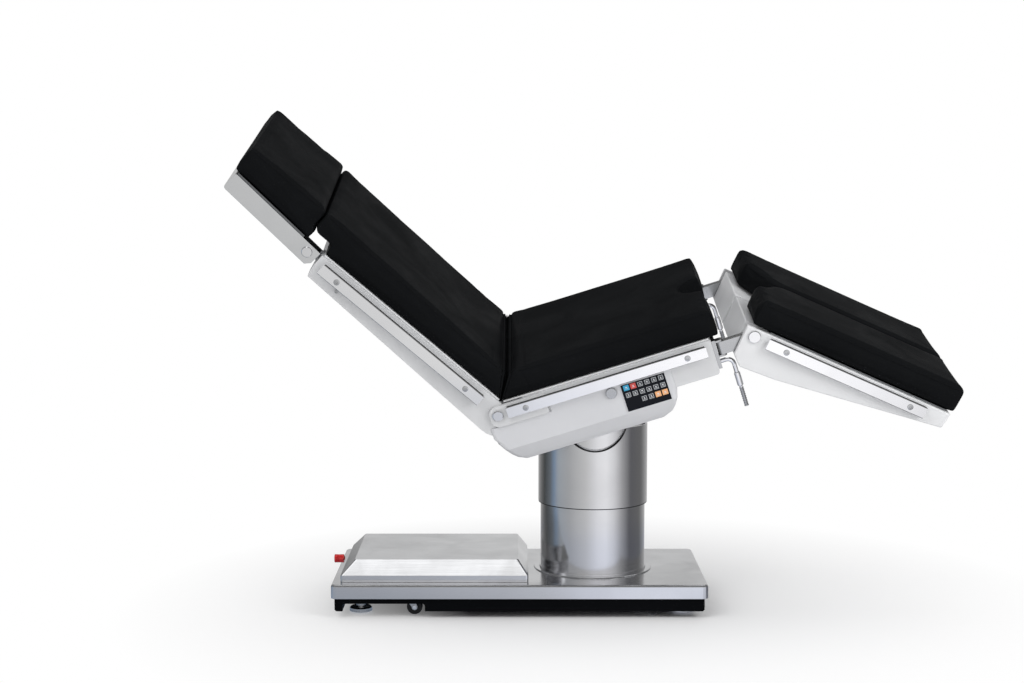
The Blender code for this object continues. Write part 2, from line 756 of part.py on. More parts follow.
def make_housing(moulding, seat):
    """Moulded skin round the tilt head: slanted ends, bevelled flanks, open top and mouth."""
    housing = add("seat_housing", loft(housing_levels(0.0)), moulding, seat)
    inner = housing_levels(HOUSING_SKIN)
    inner[0] = (inner[0][0], HOUSING_TOP + 0.01)
    inner[-1] = (inner[-1][0], HOUSING_LEVELS[-1][0] + HOUSING_SKIN)
    head, foot, half = HOUSING_MOUTH
    mouth = prism(rectangle(head, foot, -half, half, HOUSING_MOUTH_CORNER, 4), -0.13, HOUSING_MOUTH_TOP, "Z")
    step = box(-0.34, HOUSING_STEP, -0.3, 0.3, HOUSING_STEP_TOP, 0.03)
    gate = box(-0.34, -0.20, -PLATE_OUTER - GAP, PLATE_OUTER + GAP, HOUSING_END_WALL_TOP, 0.03)
    shaft = rod(CROSS_SHAFT + RUNNING, -0.3, 0.3, "Y")
    combine(housing, "DIFFERENCE", loft(inner), mouth, step, gate, shaft)
    for side in SIDES.values():
        near, far = side * (PLATE_INNER - GAP), side * (PLATE_OUTER + GAP)
        combine(housing, "DIFFERENCE", box(0.14, 0.17, near, far, SEAT_PLATE_BOTTOM - GAP, 0.03))


def make_keypad(black, seat):
    """Membrane control panel on the right flank."""
    outline = rectangle(*KEYPAD_X, *KEYPAD_Z, KEYPAD_CORNER)
    face = -SHELL_OUTER - GAP
    add("keypad_panel", prism(outline, face, face - KEYPAD_THICKNESS), black, seat)


def make_rail(name, side, span, level, mounts, steel, parent):
    """Side rail on round stand-offs, with counterbored screws. Mounts are (x, inner face) pairs."""
    edge = RAIL_EDGE
    low, high = level - RAIL_HEIGHT / 2, level + RAIL_HEIGHT / 2
    section = rounded(
        [(RAIL_INNER, low, edge), (RAIL_OUTER, low, edge), (RAIL_OUTER, high, edge), (RAIL_INNER, high, edge)],
        1,
    )
    section = [(side * y, z) for y, z in section]
    rail = add(name, prism(section, *span, "X"), steel, parent)
    for x, face in mounts:
        boss = rod(RAIL_BOSS, side * (face + GAP), side * (RAIL_INNER + 0.002), "Y", (x, 0, level), 16)
        sunk = rod(RAIL_SCREW, side * (RAIL_OUTER - RAIL_SCREW_DEPTH), side * 0.3, "Y", (x, 0, level), 16)
        combine(rail, "UNION", boss)
        combine(rail, "DIFFERENCE", sunk)


def make_pin(name, side, depth, face, cap, cap_height, steel, parent, x=0.0, z=0.0):
    """Hinge pin with a chamfered cap outside the face."""
    start = face + GAP
    profile = [
        (0, side * depth),
        (PIN_RADIUS, side * depth),
        (PIN_RADIUS, side * start),
        (cap, side * start),
        (cap, side * (start + cap_height - 0.0015)),
        (cap - 0.0015, side * (start + cap_height)),
        (0, side * (start + cap_height)),
    ]
    add(name, turned(profile, "Y", steps=20), steel, parent, (x, 0, z))


def make_seat_top(paint, vinyl, seat):
    """Board and pad of the seat section, with the half-round notch at the foot end."""
    bottom = SEAT_PLATE_TOP + GAP
    half = PAD_HALF - BOARD_INSET
    notch = rod(NOTCH_RADIUS - BOARD_INSET, 0, 0.2, "Z", (SEAT_PAD_FOOT[0], 0, 0), 28)
    board = box(SEAT_BOARD_HEAD, SEAT_BOARD_FOOT, -half, half, bottom, bottom + BOARD)
    combine(add("seat_board", board, paint, seat), "DIFFERENCE", notch)
    low, high = bottom + BOARD + GAP, SEAT_PAD_TOP
    outline = [
        (HIP_X + (low - HINGE_LEVEL) / PAD_SLANT, low),
        (SEAT_PAD_FOOT[0], low),
        (SEAT_PAD_FOOT[1], high),
        (HIP_X + (high - HINGE_LEVEL) / PAD_SLANT, high),
    ]
    pad = add("seat_pad", prism(outline, -PAD_HALF, PAD_HALF), vinyl, seat)
    scoop = rod(NOTCH_RADIUS, 0, 0.2, "Z", (SEAT_PAD_FOOT[0], 0, 0), 28)
    combine(pad, "DIFFERENCE", scoop)


def make_back(paint, vinyl, hip):
    """Back section: hip disc, tapering panel, neck lugs, board and notched pad."""
    outline = [
        (BACK_END, BACK_PLATE_TOP),
        (BACK_END, BACK_END_STEP_LEVEL),
        (BACK_END - BACK_END_STEP, -BACK_END_DEPTH),
    ]
    outline += arc((0, 0), HIP_RADIUS, -87.5, -184, 8)
    outline += arc((0, 0), HIP_NECK, 160, 90, 3)
    outline += [(0.012, BACK_PLATE_TOP)]
    frame = add("back_frame", prism(flipped(outline), -PLATE_OUTER, PLATE_OUTER), paint, hip)
    lug = [(NECK_LUG_ROOT, NECK_LEVEL - NECK_LUG_RADIUS)]
    lug += arc((NECK_X, NECK_LEVEL), NECK_LUG_RADIUS, -90, 90, 6)
    lug += [(NECK_LUG_ROOT, NECK_LEVEL + NECK_LUG_RADIUS)]
    gate = box(-NECK_X, -NECK_GATE, -NECK_GATE_HALF, NECK_GATE_HALF, -0.05, 0.04)
    combine(frame, "DIFFERENCE", gate)
    for side in SIDES.values():
        combine(frame, "UNION", prism(flipped(lug), side * NECK_LUG[0], side * NECK_LUG[1]))
        bore = rod(PIN_RADIUS + RUNNING, side * (PIN_DEPTH - 0.002), side * 0.26, "Y")
        combine(frame, "DIFFERENCE", bore)
        eye = rod(PIN_RADIUS + RUNNING, side * 0.19, side * 0.22, "Y", (-NECK_X, 0, NECK_LEVEL))
        combine(frame, "DIFFERENCE", eye)
    bottom = BACK_PLATE_TOP + GAP
    half = PAD_HALF - BOARD_INSET
    add("back_board", box(-BACK_BOARD[1], -BACK_BOARD[0], -half, half, bottom, bottom + BOARD), paint, hip)
    low = bottom + BOARD + GAP
    pad = [
        (low / PAD_SLANT, low),
        (BACK_PAD_STEP, low),
        (BACK_PAD_STEP, BACK_PAD_STEP_LEVEL),
        (BACK_PAD_END - BACK_PAD_LIP[0], BACK_PAD_STEP_LEVEL),
        (BACK_PAD_END, BACK_PAD_STEP_LEVEL + BACK_PAD_LIP[1]),
        (BACK_PAD_END, BACK_PAD_TOP[1]),
        (BACK_PAD_TOP[0] / PAD_SLANT, BACK_PAD_TOP[0]),
    ]
    add("back_pad", prism(flipped(pad), -PAD_HALF, PAD_HALF), vinyl, hip)


def make_head(steel, paint, vinyl, neck):
    """Head section: slotted plate with a rounded crown, board and pad."""
    outline = rounded(
        [
            (-HEAD_START - HEAD_HEEL[0], -HEAD_DEPTH, 0),
            (-HEAD_START, HEAD_HEEL[1] - HEAD_DEPTH, 0),
            (-HEAD_START, HEAD_PLATE_TOP, 0.002),
            (-HEAD_END, HEAD_PLATE_TOP, 0.004),
            (-HEAD_END, -HEAD_DEPTH, 0.008),
        ]
    )
    frame = add("head_frame", prism(outline, -PLATE_OUTER, PLATE_OUTER), steel, neck)
    gate = NECK_LUG[1] + 0.001
    combine(frame, "DIFFERENCE", box(-NECK_SLOT_END, 0.04, -gate, gate, -0.05, 0.05))
    for side in SIDES.values():
        bore = rod(PIN_RADIUS + RUNNING, side * (NECK_PIN_DEPTH - 0.002), side * 0.26, "Y")
        combine(frame, "DIFFERENCE", bore)
    bottom = HEAD_PLATE_TOP + GAP
    half = PAD_HALF - BOARD_INSET
    add("head_board", box(-HEAD_BOARD[1], -HEAD_BOARD[0], -half, half, bottom, bottom + BOARD), paint, neck)
    low = bottom + BOARD + GAP
    pad = [(HEAD_PAD_NECK[0][0], low), *HEAD_PAD_NECK, *HEAD_PAD_CROWN, (HEAD_PAD_CROWN[1][0], low)]
    add("head_pad", prism(flipped(pad), -PAD_HALF, PAD_HALF), vinyl, neck)


def make_knee_block(name, side, steel, seat):
    """Swivel bracket: plate, two lugs and their upright pin."""
    low, high = BLOCK_LEVELS
    arm_low, arm_high = KNEE_ARM_LEVELS
    inner, outer = (side * width for width in BLOCK_WIDTHS)
    plate = prism(rectangle(SEAT_FOOT_END + GAP, BLOCK_FACE, low, high), inner, outer)
    block = add(f"knee_block_{name}", plate, steel, seat)
    for bottom in (arm_low - GAP - SWIVEL_LUG, arm_high + GAP):
        ends = rounded(
            [
                (BLOCK_FACE - 0.002, SWIVEL_Y - KNUCKLE_RADIUS, 0),
                (SWIVEL_X + KNUCKLE_RADIUS, SWIVEL_Y - KNUCKLE_RADIUS, KNUCKLE_RADIUS * 0.98),
                (SWIVEL_X + KNUCKLE_RADIUS, SWIVEL_Y + KNUCKLE_RADIUS, KNUCKLE_RADIUS * 0.98),
                (BLOCK_FACE - 0.002, SWIVEL_Y + KNUCKLE_RADIUS, 0),
            ]
        )
        lug = [(x, side * y) for x, y in ends]
        combine(block, "UNION", prism(lug, bottom, bottom + SWIVEL_LUG, "Z"))
    place = (SWIVEL_X, side * SWIVEL_Y, 0)
    combine(block, "UNION", rod(SWIVEL_PIN, arm_low - 0.003, arm_high + 0.003, "Z", place))
    hole = rod(LEVER_PIN + RUNNING, 0.26, 0.30, "X", (0, side * LEVER_Y, LEVER_LEVEL), 16)
    combine(block, "DIFFERENCE", hole)


def make_knee_arm(name, side, steel, swivel):
    """Link from the upright swivel pin to the knee axis, drawn from the swivel."""
    low, high = KNEE_ARM_LEVELS
    reach = KNEE_X - SWIVEL_X
    half = KNEE_ARM_WIDTH / 2
    outline = rounded(
        [
            (0, low, 0),
            (reach + KNEE_ARM_END, low, 0.012),
            (reach + KNEE_ARM_END, high, 0.006),
            (0, high, 0),
        ]
    )
    arm = add(f"knee_arm_{name}", prism(outline, -half, half), steel, swivel)
    combine(arm, "UNION", rod(KNUCKLE_RADIUS, low, high, "Z", steps=24))
    combine(arm, "DIFFERENCE", rod(SWIVEL_PIN + RUNNING, -0.02, 0.06, "Z"))
    eye = rod(PIN_RADIUS + RUNNING, -0.03, 0.03, "Y", (reach, 0, HINGE_LEVEL))
    combine(arm, "DIFFERENCE", eye)


def make_lever(name, side, chrome, seat):
    """Clamp lever: pin, neck, bend and a hanging grip, drawn from its own axis."""
    pin_start = SEAT_FOOT_END + 0.004 - LEVER_X
    face = BLOCK_FACE + RUNNING - LEVER_X
    drop = LEVER_LEVEL
    bend = [
        (x, z, LEVER_NECK, heading)
        for (x, z), heading in zip(arc((-LEVER_BEND, -LEVER_BEND), LEVER_BEND, 90, 0, 4), range(0, -91, -22))
    ]
    bend[-1] = (*bend[-1][:3], -90)
    shoulder = LEVER_SHOULDER - drop
    tip = LEVER_TIP - drop
    stations = [(pin_start, 0, LEVER_PIN, 0), (face, 0, LEVER_PIN, 0), (face, 0, LEVER_NECK, 0)]
    stations += bend
    stations += [
        (0, shoulder, LEVER_NECK, -90),
        (0, shoulder - 0.004, LEVER_GRIP, -90),
        (0, tip + 0.002, LEVER_GRIP, -90),
        (0, tip, LEVER_GRIP * 0.5, -90),
    ]
    add(f"clamp_lever_{name}", swept(stations), chrome, seat, (LEVER_X, side * LEVER_Y, LEVER_LEVEL))


def leg_plan(inset):
    """Plan of a leg pad, rounded off towards the crotch, for the left side."""
    start, end = LEG_PAD[0] + inset, LEG_PAD[1] - inset
    inner, outer = LEG_PAD_INNER + inset, PAD_HALF - inset
    crotch = [(start + x, inner + y) for x, y in LEG_PAD_CROTCH]
    return [(end, inner), (end, outer), (start, outer)] + crotch[::-1]


def make_leg(name, side, paint, vinyl, knee):
    """Leg section: shell with a knuckle bay, board and pad, drawn from the knee on the table's middle."""
    offset = -side * SWIVEL_Y
    outline = [(LEG_START, LEG_PLATE_TOP), LEG_HEEL, LEG_HEEL_BOTTOM, LEG_BELLY, LEG_TOE, (LEG_END, LEG_PLATE_TOP)]
    place = (0, offset, 0)
    frame = add(f"leg_frame_{name}", prism(outline, side * LEG_INNER, side * SHELL_OUTER), paint, knee, place)
    soften(frame, 0.003, 2)
    near, far = (side * width for width in KNEE_BAY)
    bay = prism(rectangle(-0.1, KNEE_BAY_END, -0.12, 0.05), near, far)
    lever_bay = prism(rectangle(-0.1, LEVER_BAY_END, -0.12, LEVER_BAY_LEVEL), near, far)
    bore = rod(PIN_RADIUS + RUNNING, side * (KNEE_PIN_DEPTH - 0.002), side * 0.27, "Y")
    combine(frame, "DIFFERENCE", bay, lever_bay, bore)
    bottom = LEG_PLATE_TOP + GAP
    half = PAD_HALF - BOARD_INSET
    board = prism(rectangle(*LEG_BOARD, side * (LEG_INNER + BOARD_INSET), side * half), bottom, bottom + BOARD, "Z")
    add(f"leg_board_{name}", board, paint, knee, place)
    low = bottom + BOARD + GAP
    plans = [(leg_plan(0.0), low), (leg_plan(0.0), LEG_PAD_TOP - LEG_PAD_EDGE), (leg_plan(LEG_PAD_EDGE), LEG_PAD_TOP)]
    pad = [([(x, side * y) for x, y in plan], level) for plan, level in plans]
    add(f"leg_pad_{name}", loft(pad), vinyl, knee, place)


def centre_on_floor():
    for obj in bpy.data.objects:
        if obj.parent is None:
            obj.location.x -= MIDDLE[0]
            obj.location.y -= MIDDLE[1]


def build():
    clear_scene()
    steel = finish("brushed steel", (0.62, 0.62, 0.61), 0.28, 1.0)
    machined = finish("machined steel", (0.52, 0.53, 0.54), 0.35, 1.0)
    chrome = finish("chrome", (0.80, 0.80, 0.80), 0.08, 1.0)
    paint = finish("pale grey paint", (0.78, 0.78, 0.77), 0.35)
    moulding = finish("pale grey moulding", (0.75, 0.75, 0.74), 0.45)
    black = finish("black paint", (0.015, 0.015, 0.016), 0.5)
    tread = finish("grey tyre", (0.10, 0.10, 0.10), 0.7)
    foil = finish("black keypad foil", (0.02, 0.02, 0.022), 0.35)
    red = finish("red plastic", (0.65, 0.02, 0.02), 0.35)
    vinyl = finish("black vinyl", (0.012, 0.012, 0.013), 0.45)

    make_deck(steel)
    make_chassis(black)
    make_hood(steel)
    make_knob(red)
    for end in CASTOR_X:
        for name, side in SIDES.items():
            make_castor(f"{end}_{name}", CASTOR_X[end], side, machined, tread)
            make_jack(f"{end}_{name}", JACK_X[end], side, machined)
    make_column(steel)
    make_column_head(machined)

    lateral = axis_empty("lateral_tilt_axis", (PIVOT_X, 0, PIVOT_HEIGHT), (LATERAL_TILT, 0, 0))
    seat = axis_empty("trendelenburg_axis", (0, 0, 0), (0, -TRENDELENBURG, 0), lateral)
    hip = axis_empty("hip_axis", (HIP_X, 0, HINGE_LEVEL), (0, BACK_ANGLE, 0), seat)
    neck = axis_empty("neck_axis", (-NECK_X, 0, NECK_LEVEL), (0, HEAD_ANGLE, 0), hip)

    make_yoke(machined, lateral)
    make_seat_frame(paint, seat)
    make_housing(moulding, seat)
    make_keypad(foil, seat)
    make_seat_top(paint, vinyl, seat)
    make_back(paint, vinyl, hip)
    make_head(steel, paint, vinyl, neck)
    for name, side in SIDES.items():
        ear, plate = EAR_OUTER, PLATE_OUTER
        seat_mounts = list(zip(SEAT_RAIL_SCREWS, (ear, plate)))
        make_rail(f"seat_rail_{name}", side, SEAT_RAIL, SEAT_RAIL_LEVEL, seat_mounts, steel, seat)
        back_mounts = [(-x, plate) for x in BACK_RAIL_SCREWS]
        back_span = (-BACK_RAIL[1], -BACK_RAIL[0])
        make_rail(f"back_rail_{name}", side, back_span, BACK_RAIL_LEVEL, back_mounts, steel, hip)
        make_pin(
            f"hip_pin_{name}", side, PIN_DEPTH, ear, PIN_CAP, PIN_CAP_HEIGHT, chrome, seat, HIP_X, HINGE_LEVEL
        )
        make_pin(f"neck_pin_{name}", side, NECK_PIN_DEPTH, plate, PIN_CAP, PIN_CAP_HEIGHT, chrome, neck)
        make_knee_block(name, side, machined, seat)
        make_lever(name, side, chrome, seat)
        swivel = axis_empty(f"swivel_axis_{name}", (SWIVEL_X, side * SWIVEL_Y, 0), parent=seat)
        knee_place = (KNEE_X - SWIVEL_X, 0, HINGE_LEVEL)
        knee = axis_empty(f"knee_axis_{name}", knee_place, (0, LEG_ANGLE, 0), swivel)
        make_knee_arm(name, side, machined, swivel)
        make_leg(name, side, paint, vinyl, knee)
        middle = axis_empty(f"leg_middle_{name}", (0, -side * SWIVEL_Y, 0), parent=knee)
        leg_mounts = [(x, SHELL_OUTER) for x in LEG_RAIL_SCREWS]
        make_rail(f"leg_rail_{name}", side, LEG_RAIL, LEG_RAIL_LEVEL, leg_mounts, steel, middle)
        make_pin(
            f"knee_pin_{name}", side, KNEE_PIN_DEPTH, SHELL_OUTER, KNEE_PIN_CAP, KNEE_PIN_CAP_HEIGHT, chrome, middle
        )
    centre_on_floor()


build()
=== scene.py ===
"""The operating table as photographed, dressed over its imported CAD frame.

Each sub-assembly is a class. Its sizes are dataclass fields in metres, drawn in the flat frame of the
section that it belongs to: x along the table towards the foot end, y across it to the left side, and
z out of the pads. A Section turns that frame into the world and names the body that carries it.
"""

from __future__ import annotations

import json
import logging
import math
from collections.abc import Callable, Sequence
from dataclasses import dataclass, field
from enum import Enum

import bmesh
import bpy
from mathutils import Matrix, Vector

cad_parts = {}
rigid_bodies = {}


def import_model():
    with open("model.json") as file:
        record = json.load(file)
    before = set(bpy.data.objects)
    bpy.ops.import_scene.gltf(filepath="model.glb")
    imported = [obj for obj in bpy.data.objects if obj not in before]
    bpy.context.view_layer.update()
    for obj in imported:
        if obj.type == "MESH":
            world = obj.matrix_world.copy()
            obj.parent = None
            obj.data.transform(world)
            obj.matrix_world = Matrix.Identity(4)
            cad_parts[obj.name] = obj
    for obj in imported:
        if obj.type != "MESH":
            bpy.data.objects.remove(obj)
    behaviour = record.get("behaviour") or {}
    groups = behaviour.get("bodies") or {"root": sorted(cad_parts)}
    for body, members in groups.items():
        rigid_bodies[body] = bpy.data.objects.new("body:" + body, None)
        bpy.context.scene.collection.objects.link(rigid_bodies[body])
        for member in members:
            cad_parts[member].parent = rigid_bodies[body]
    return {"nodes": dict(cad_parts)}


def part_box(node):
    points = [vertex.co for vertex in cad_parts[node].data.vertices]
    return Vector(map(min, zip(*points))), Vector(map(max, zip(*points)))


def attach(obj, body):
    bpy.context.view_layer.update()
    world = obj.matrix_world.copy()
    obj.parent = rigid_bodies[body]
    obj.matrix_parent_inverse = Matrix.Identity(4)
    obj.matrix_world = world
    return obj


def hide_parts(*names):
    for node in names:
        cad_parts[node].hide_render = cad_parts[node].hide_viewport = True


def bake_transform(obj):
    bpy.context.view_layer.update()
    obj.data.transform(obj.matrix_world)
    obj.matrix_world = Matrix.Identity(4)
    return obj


logging.basicConfig(level=logging.INFO, format="%(message)s")
LOG = logging.getLogger("operating_table")

Point = tuple[float, float, float]
Colour = tuple[float, float, float]
Outline = list[tuple[float, float]]
Object = bpy.types.Object
Node = bpy.types.Node
Socket = bpy.types.NodeSocket
Tree = bpy.types.NodeTree
Form = bmesh.types.BMesh
Face = bmesh.types.BMFace
FaceTest = Callable[[Face], bool]

SIDES: dict[str, int] = {"left": 1, "right": -1}
COLUMN = Vector((-0.015, 0.050, 0.0))
SMOOTH_ANGLE = math.radians(35)


class Axis(Enum):
    """The direction that a round piece stands along."""

    X = "X"
    Y = "Y"
    Z = "Z"

    def turn(self) -> Matrix:
        """Returns the rotation that lays a piece standing on Z along this axis."""
        if self is Axis.X:
            return Matrix.Rotation(math.pi / 2, 4, "Y")
        if self is Axis.Y:
            return Matrix.Rotation(-math.pi / 2, 4, "X")
        return Matrix.Identity(4)


@dataclass(frozen=True)
class Section:
    """A flat drawing frame and the body that carries what is drawn in it."""

    body: str
    matrix: Matrix

    def deeper(self, body: str, place: Point, turn_y: float = 0.0) -> Section:
        """A section hinged on this one.

        Args:
            body: The body that carries it.
            place: The hinge, in this section's frame.
            turn_y: Its turn about the hinge, in degrees.

        Returns:
            The new section.
        """
        turn = Matrix.Rotation(math.radians(turn_y), 4, "Y")
        return Section(body, self.matrix @ Matrix.Translation(place) @ turn)

    def point(self, x: float, y: float, z: float) -> Vector:
        """Returns a point of the section's frame in the world."""
        return self.matrix @ Vector((x, y, z))


def table_sections() -> dict[str, Section]:
    """Returns every section of the table by name, in the photographed pose."""
    base = Section("base", Matrix.Translation(COLUMN))
    pivot = base.matrix @ Matrix.Translation((0.034, 0.0, 0.633))
    tilted = pivot @ Matrix.Rotation(math.radians(13.0), 4, "X")
    seat = Section("seat", tilted @ Matrix.Rotation(math.radians(-18.0), 4, "Y"))
    back = seat.deeper("back", (-0.284, 0.0, 0.031), 59.5)
    found = {
        "base": base,
        "lift": Section("lift", base.matrix),
        "seat": seat,
        "back": back,
        "head": back.deeper("head", (-0.6206, 0.0, 0.009), 4.0),
    }
    for side in SIDES:
        found[f"leg_{side}"] = seat.deeper(f"leg_{side}", (0.375, 0.0, 0.031), 42.4)
    return found


# Node trees


class Graph:
    """A node tree with short calls to add and join its nodes."""

    def __init__(self, tree: Tree) -> None:
        """Wraps a material's or a group's tree."""
        self.tree = tree

    def add(self, kind: str, inputs: dict[str, object] | None = None, **settings: object) -> Node:
        """Adds a node.

        Args:
            kind: The node's type name.
            inputs: Values or sockets for its inputs, by name or index.
            **settings: The node's own properties.

        Returns:
            The node.
        """
        node = self.tree.nodes.new(kind)
        for name, value in settings.items():
            setattr(node, name, value)
        for name, value in (inputs or {}).items():
            if isinstance(value, Socket):
                self.tree.links.new(value, node.inputs[name])
            else:
                node.inputs[name].default_value = value
        return node

    def math(self, operation: str, first: object, second: object = 0.0) -> Socket:
        """Returns the result of a Math node on two values or sockets."""
        return self.add("ShaderNodeMath", {0: first, 1: second}, operation=operation).outputs[0]

    def spread(self, value: object, low: float, high: float, start: float, end: float) -> Socket:
        """Returns a value mapped from low..high to start..end, held at the ends."""
        inputs = {"Value": value, "From Min": low, "From Max": high, "To Min": start, "To Max": end}
        return self.add("ShaderNodeMapRange", inputs, clamp=True).outputs["Result"]

    def mix(self, share: object, first: object, second: object) -> Socket:
        """Returns two colours mixed by a share."""
        return self.add("ShaderNodeMix", {0: share, 6: first, 7: second}, data_type="RGBA").outputs[2]

    def scaled(self, place: object, factors: object) -> Socket:
        """Returns a vector or colour multiplied by another, part by part."""
        return self.add("ShaderNodeVectorMath", {0: place, 1: factors}, operation="MULTIPLY").outputs[0]

    def effect(self, group: Tree, inputs: dict[str, object]) -> Socket:
        """Returns the result of a shared effect, placed with its own values."""
        return self.add("ShaderNodeGroup", inputs, node_tree=group).outputs[0]

    def noise(self, place: Socket, scale: object, **look: float) -> Node:
        """Returns a noise of a scale, with its other inputs by name."""
        return self.add("ShaderNodeTexNoise", {"Vector": place, "Scale": scale, **look})


class Effect:
    """The shader node groups that several finishes share, each built once."""

    built: dict[str, Tree] = {}

    @classmethod
    def shared(cls, name: str, second: tuple[str, str], output: str, draw: Callable[..., Socket]) -> Tree:
        """Returns a group, built the first time that it is asked for.

        Args:
            name: The group's name.
            second: The name and socket type of its input beside Vector.
            output: The name of its output.
            draw: Draws its nodes from a graph and the two inputs, and returns the result.

        Returns:
            The group's tree.
        """
        if name not in cls.built:
            tree = bpy.data.node_groups.new(name, "ShaderNodeTree")
            for label, kind in (("Vector", "Vector"), second):
                tree.interface.new_socket(label, in_out="INPUT", socket_type=f"NodeSocket{kind}")
            tree.interface.new_socket(output, in_out="OUTPUT", socket_type="NodeSocketFloat")
            given = tree.nodes.new("NodeGroupInput").outputs
            out = tree.nodes.new("NodeGroupOutput")
            tree.links.new(draw(Graph(tree), given["Vector"], given[second[0]]), out.inputs[output])
            cls.built[name] = tree
        return cls.built[name]

    @classmethod
    def brushed(cls) -> Tree:
        """Returns the brushed grain: fine streaks along the least stretched direction."""

        def draw(graph: Graph, place: Socket, stretch: Socket) -> Socket:
            """Draws the streaks."""
            return graph.noise(graph.scaled(place, stretch), 1.0, Detail=5.0, Roughness=0.65).outputs["Fac"]

        return cls.shared("Brushed grain", ("Stretch", "Vector"), "Streak", draw)

    @classmethod
    def smudges(cls) -> Tree:
        """Returns the handling marks: soft clouds between clean and touched."""

        def draw(graph: Graph, place: Socket, scale: Socket) -> Socket:
            """Draws the clouds."""
            cloud = graph.noise(place, scale, Detail=4.0, Roughness=0.55, Distortion=0.6)
            return graph.spread(cloud.outputs["Fac"], 0.35, 0.7, 0.0, 1.0)

        return cls.shared("Smudges", ("Scale", "Float"), "Mask", draw)

    @classmethod
    def peel(cls) -> Tree:
        """Returns the fine orange peel of a sprayed or moulded face, as a height."""

        def draw(graph: Graph, place: Socket, scale: Socket) -> Socket:
            """Draws the peel."""
            return graph.noise(place, scale, Detail=2.0).outputs["Fac"]

        return cls.shared("Orange peel", ("Scale", "Float"), "Height", draw)

    @classmethod
    def leather(cls) -> Tree:
        """Returns the pressed grain of coated upholstery: small cells with soft valleys."""

        def draw(graph: Graph, place: Socket, scale: Socket) -> Socket:
            """Draws the cells over a soft noise, which also warps them a little."""
            warp = graph.noise(place, scale, Detail=2.0)
            colours = {"Fac": 0.02, "Color1": place, "Color2": warp.outputs["Color"]}
            shifted = graph.add("ShaderNodeMixRGB", colours, blend_type="ADD").outputs[0]
            spots = {"Vector": shifted, "Scale": scale}
            cells = graph.add("ShaderNodeTexVoronoi", spots, feature="DISTANCE_TO_EDGE")
            pad = graph.spread(cells.outputs["Distance"], 0.0, 0.28, 0.0, 1.0)
            return graph.math("ADD", pad, graph.math("MULTIPLY_ADD", warp.outputs["Fac"], 0.35))

        return cls.shared("Vinyl grain", ("Scale", "Float"), "Height", draw)


@dataclass(frozen=True)
class Finish:
    """A surface finish: its colour, gloss and small-scale relief.

    Its grain, handling marks and relief come from the shared effects, with their own values here.
    """

    name: str
    slot: str
    colour: Colour
    roughness: float
    metallic: float = 0.0
    coat: float = 0.0
    specular: float = 0.5
    touched: float = 0.05
    tone: float = 0.03
    stretch: Point | None = None
    grain: float = 0.03
    relief: float = 0.0
    relief_scale: float = 900.0
    leather: bool = False
    soften: float = 0.0

    def material(self) -> bpy.types.Material:
        """Returns the material, built the first time that it is asked for."""
        known = bpy.data.materials.get(self.name)
        if known:
            return known
        material = bpy.data.materials.new(self.name)
        material.use_nodes = True
        graph = Graph(material.node_tree)
        shader = material.node_tree.nodes["Principled BSDF"]
        shader.inputs["Metallic"].default_value = self.metallic
        shader.inputs["Coat Weight"].default_value = self.coat
        shader.inputs["Specular IOR Level"].default_value = self.specular
        place = graph.add("ShaderNodeTexCoord").outputs["Object"]
        touch = graph.effect(Effect.smudges(), {"Vector": place, "Scale": 7.0})
        clean, handled = self.roughness - self.touched / 2, self.roughness + self.touched
        rough = graph.spread(touch, 0.0, 1.0, clean, handled)
        light = tuple(min(1.0, value * (1 + self.tone)) for value in self.colour)
        dark = tuple(value * (1 - self.tone) for value in self.colour)
        colour = graph.mix(touch, (*light, 1.0), (*dark, 1.0))
        normal = None
        if self.soften:
            normal = graph.add("ShaderNodeBevel", {"Radius": self.soften}, samples=6).outputs[0]
        if self.stretch:
            streak = graph.effect(Effect.brushed(), {"Vector": place, "Stretch": self.stretch})
            rough = graph.math("ADD", rough, graph.spread(streak, 0.3, 0.7, -0.04, 0.04))
            colour = graph.mix(graph.spread(streak, 0.3, 0.7, 0.0, 0.12), colour, (*dark, 1.0))
            normal = self.bump(graph, streak, 0.0002, self.grain, normal)
        if self.relief:
            group = Effect.leather() if self.leather else Effect.peel()
            height = graph.effect(group, {"Vector": place, "Scale": self.relief_scale})
            normal = self.bump(graph, height, 0.0003, self.relief, normal)
        links = material.node_tree.links
        links.new(colour, shader.inputs["Base Color"])
        links.new(rough, shader.inputs["Roughness"])
        if normal:
            links.new(normal, shader.inputs["Normal"])
        return material

    @staticmethod
    def bump(graph: Graph, height: Socket, distance: float, strength: float, normal: Socket | None) -> Socket:
        """Returns the normal of a height laid over another normal."""
        inputs: dict[str, object] = {"Height": height, "Distance": distance, "Strength": strength}
        if normal:
            inputs["Normal"] = normal
        return graph.add("ShaderNodeBump", inputs).outputs[0]

    def dress(self, *nodes: str) -> None:
        """Gives CAD nodes this finish."""
        for name in nodes:
            node = FRAME["nodes"][name]
            node.data.materials.clear()
            node.data.materials.append(self.material())


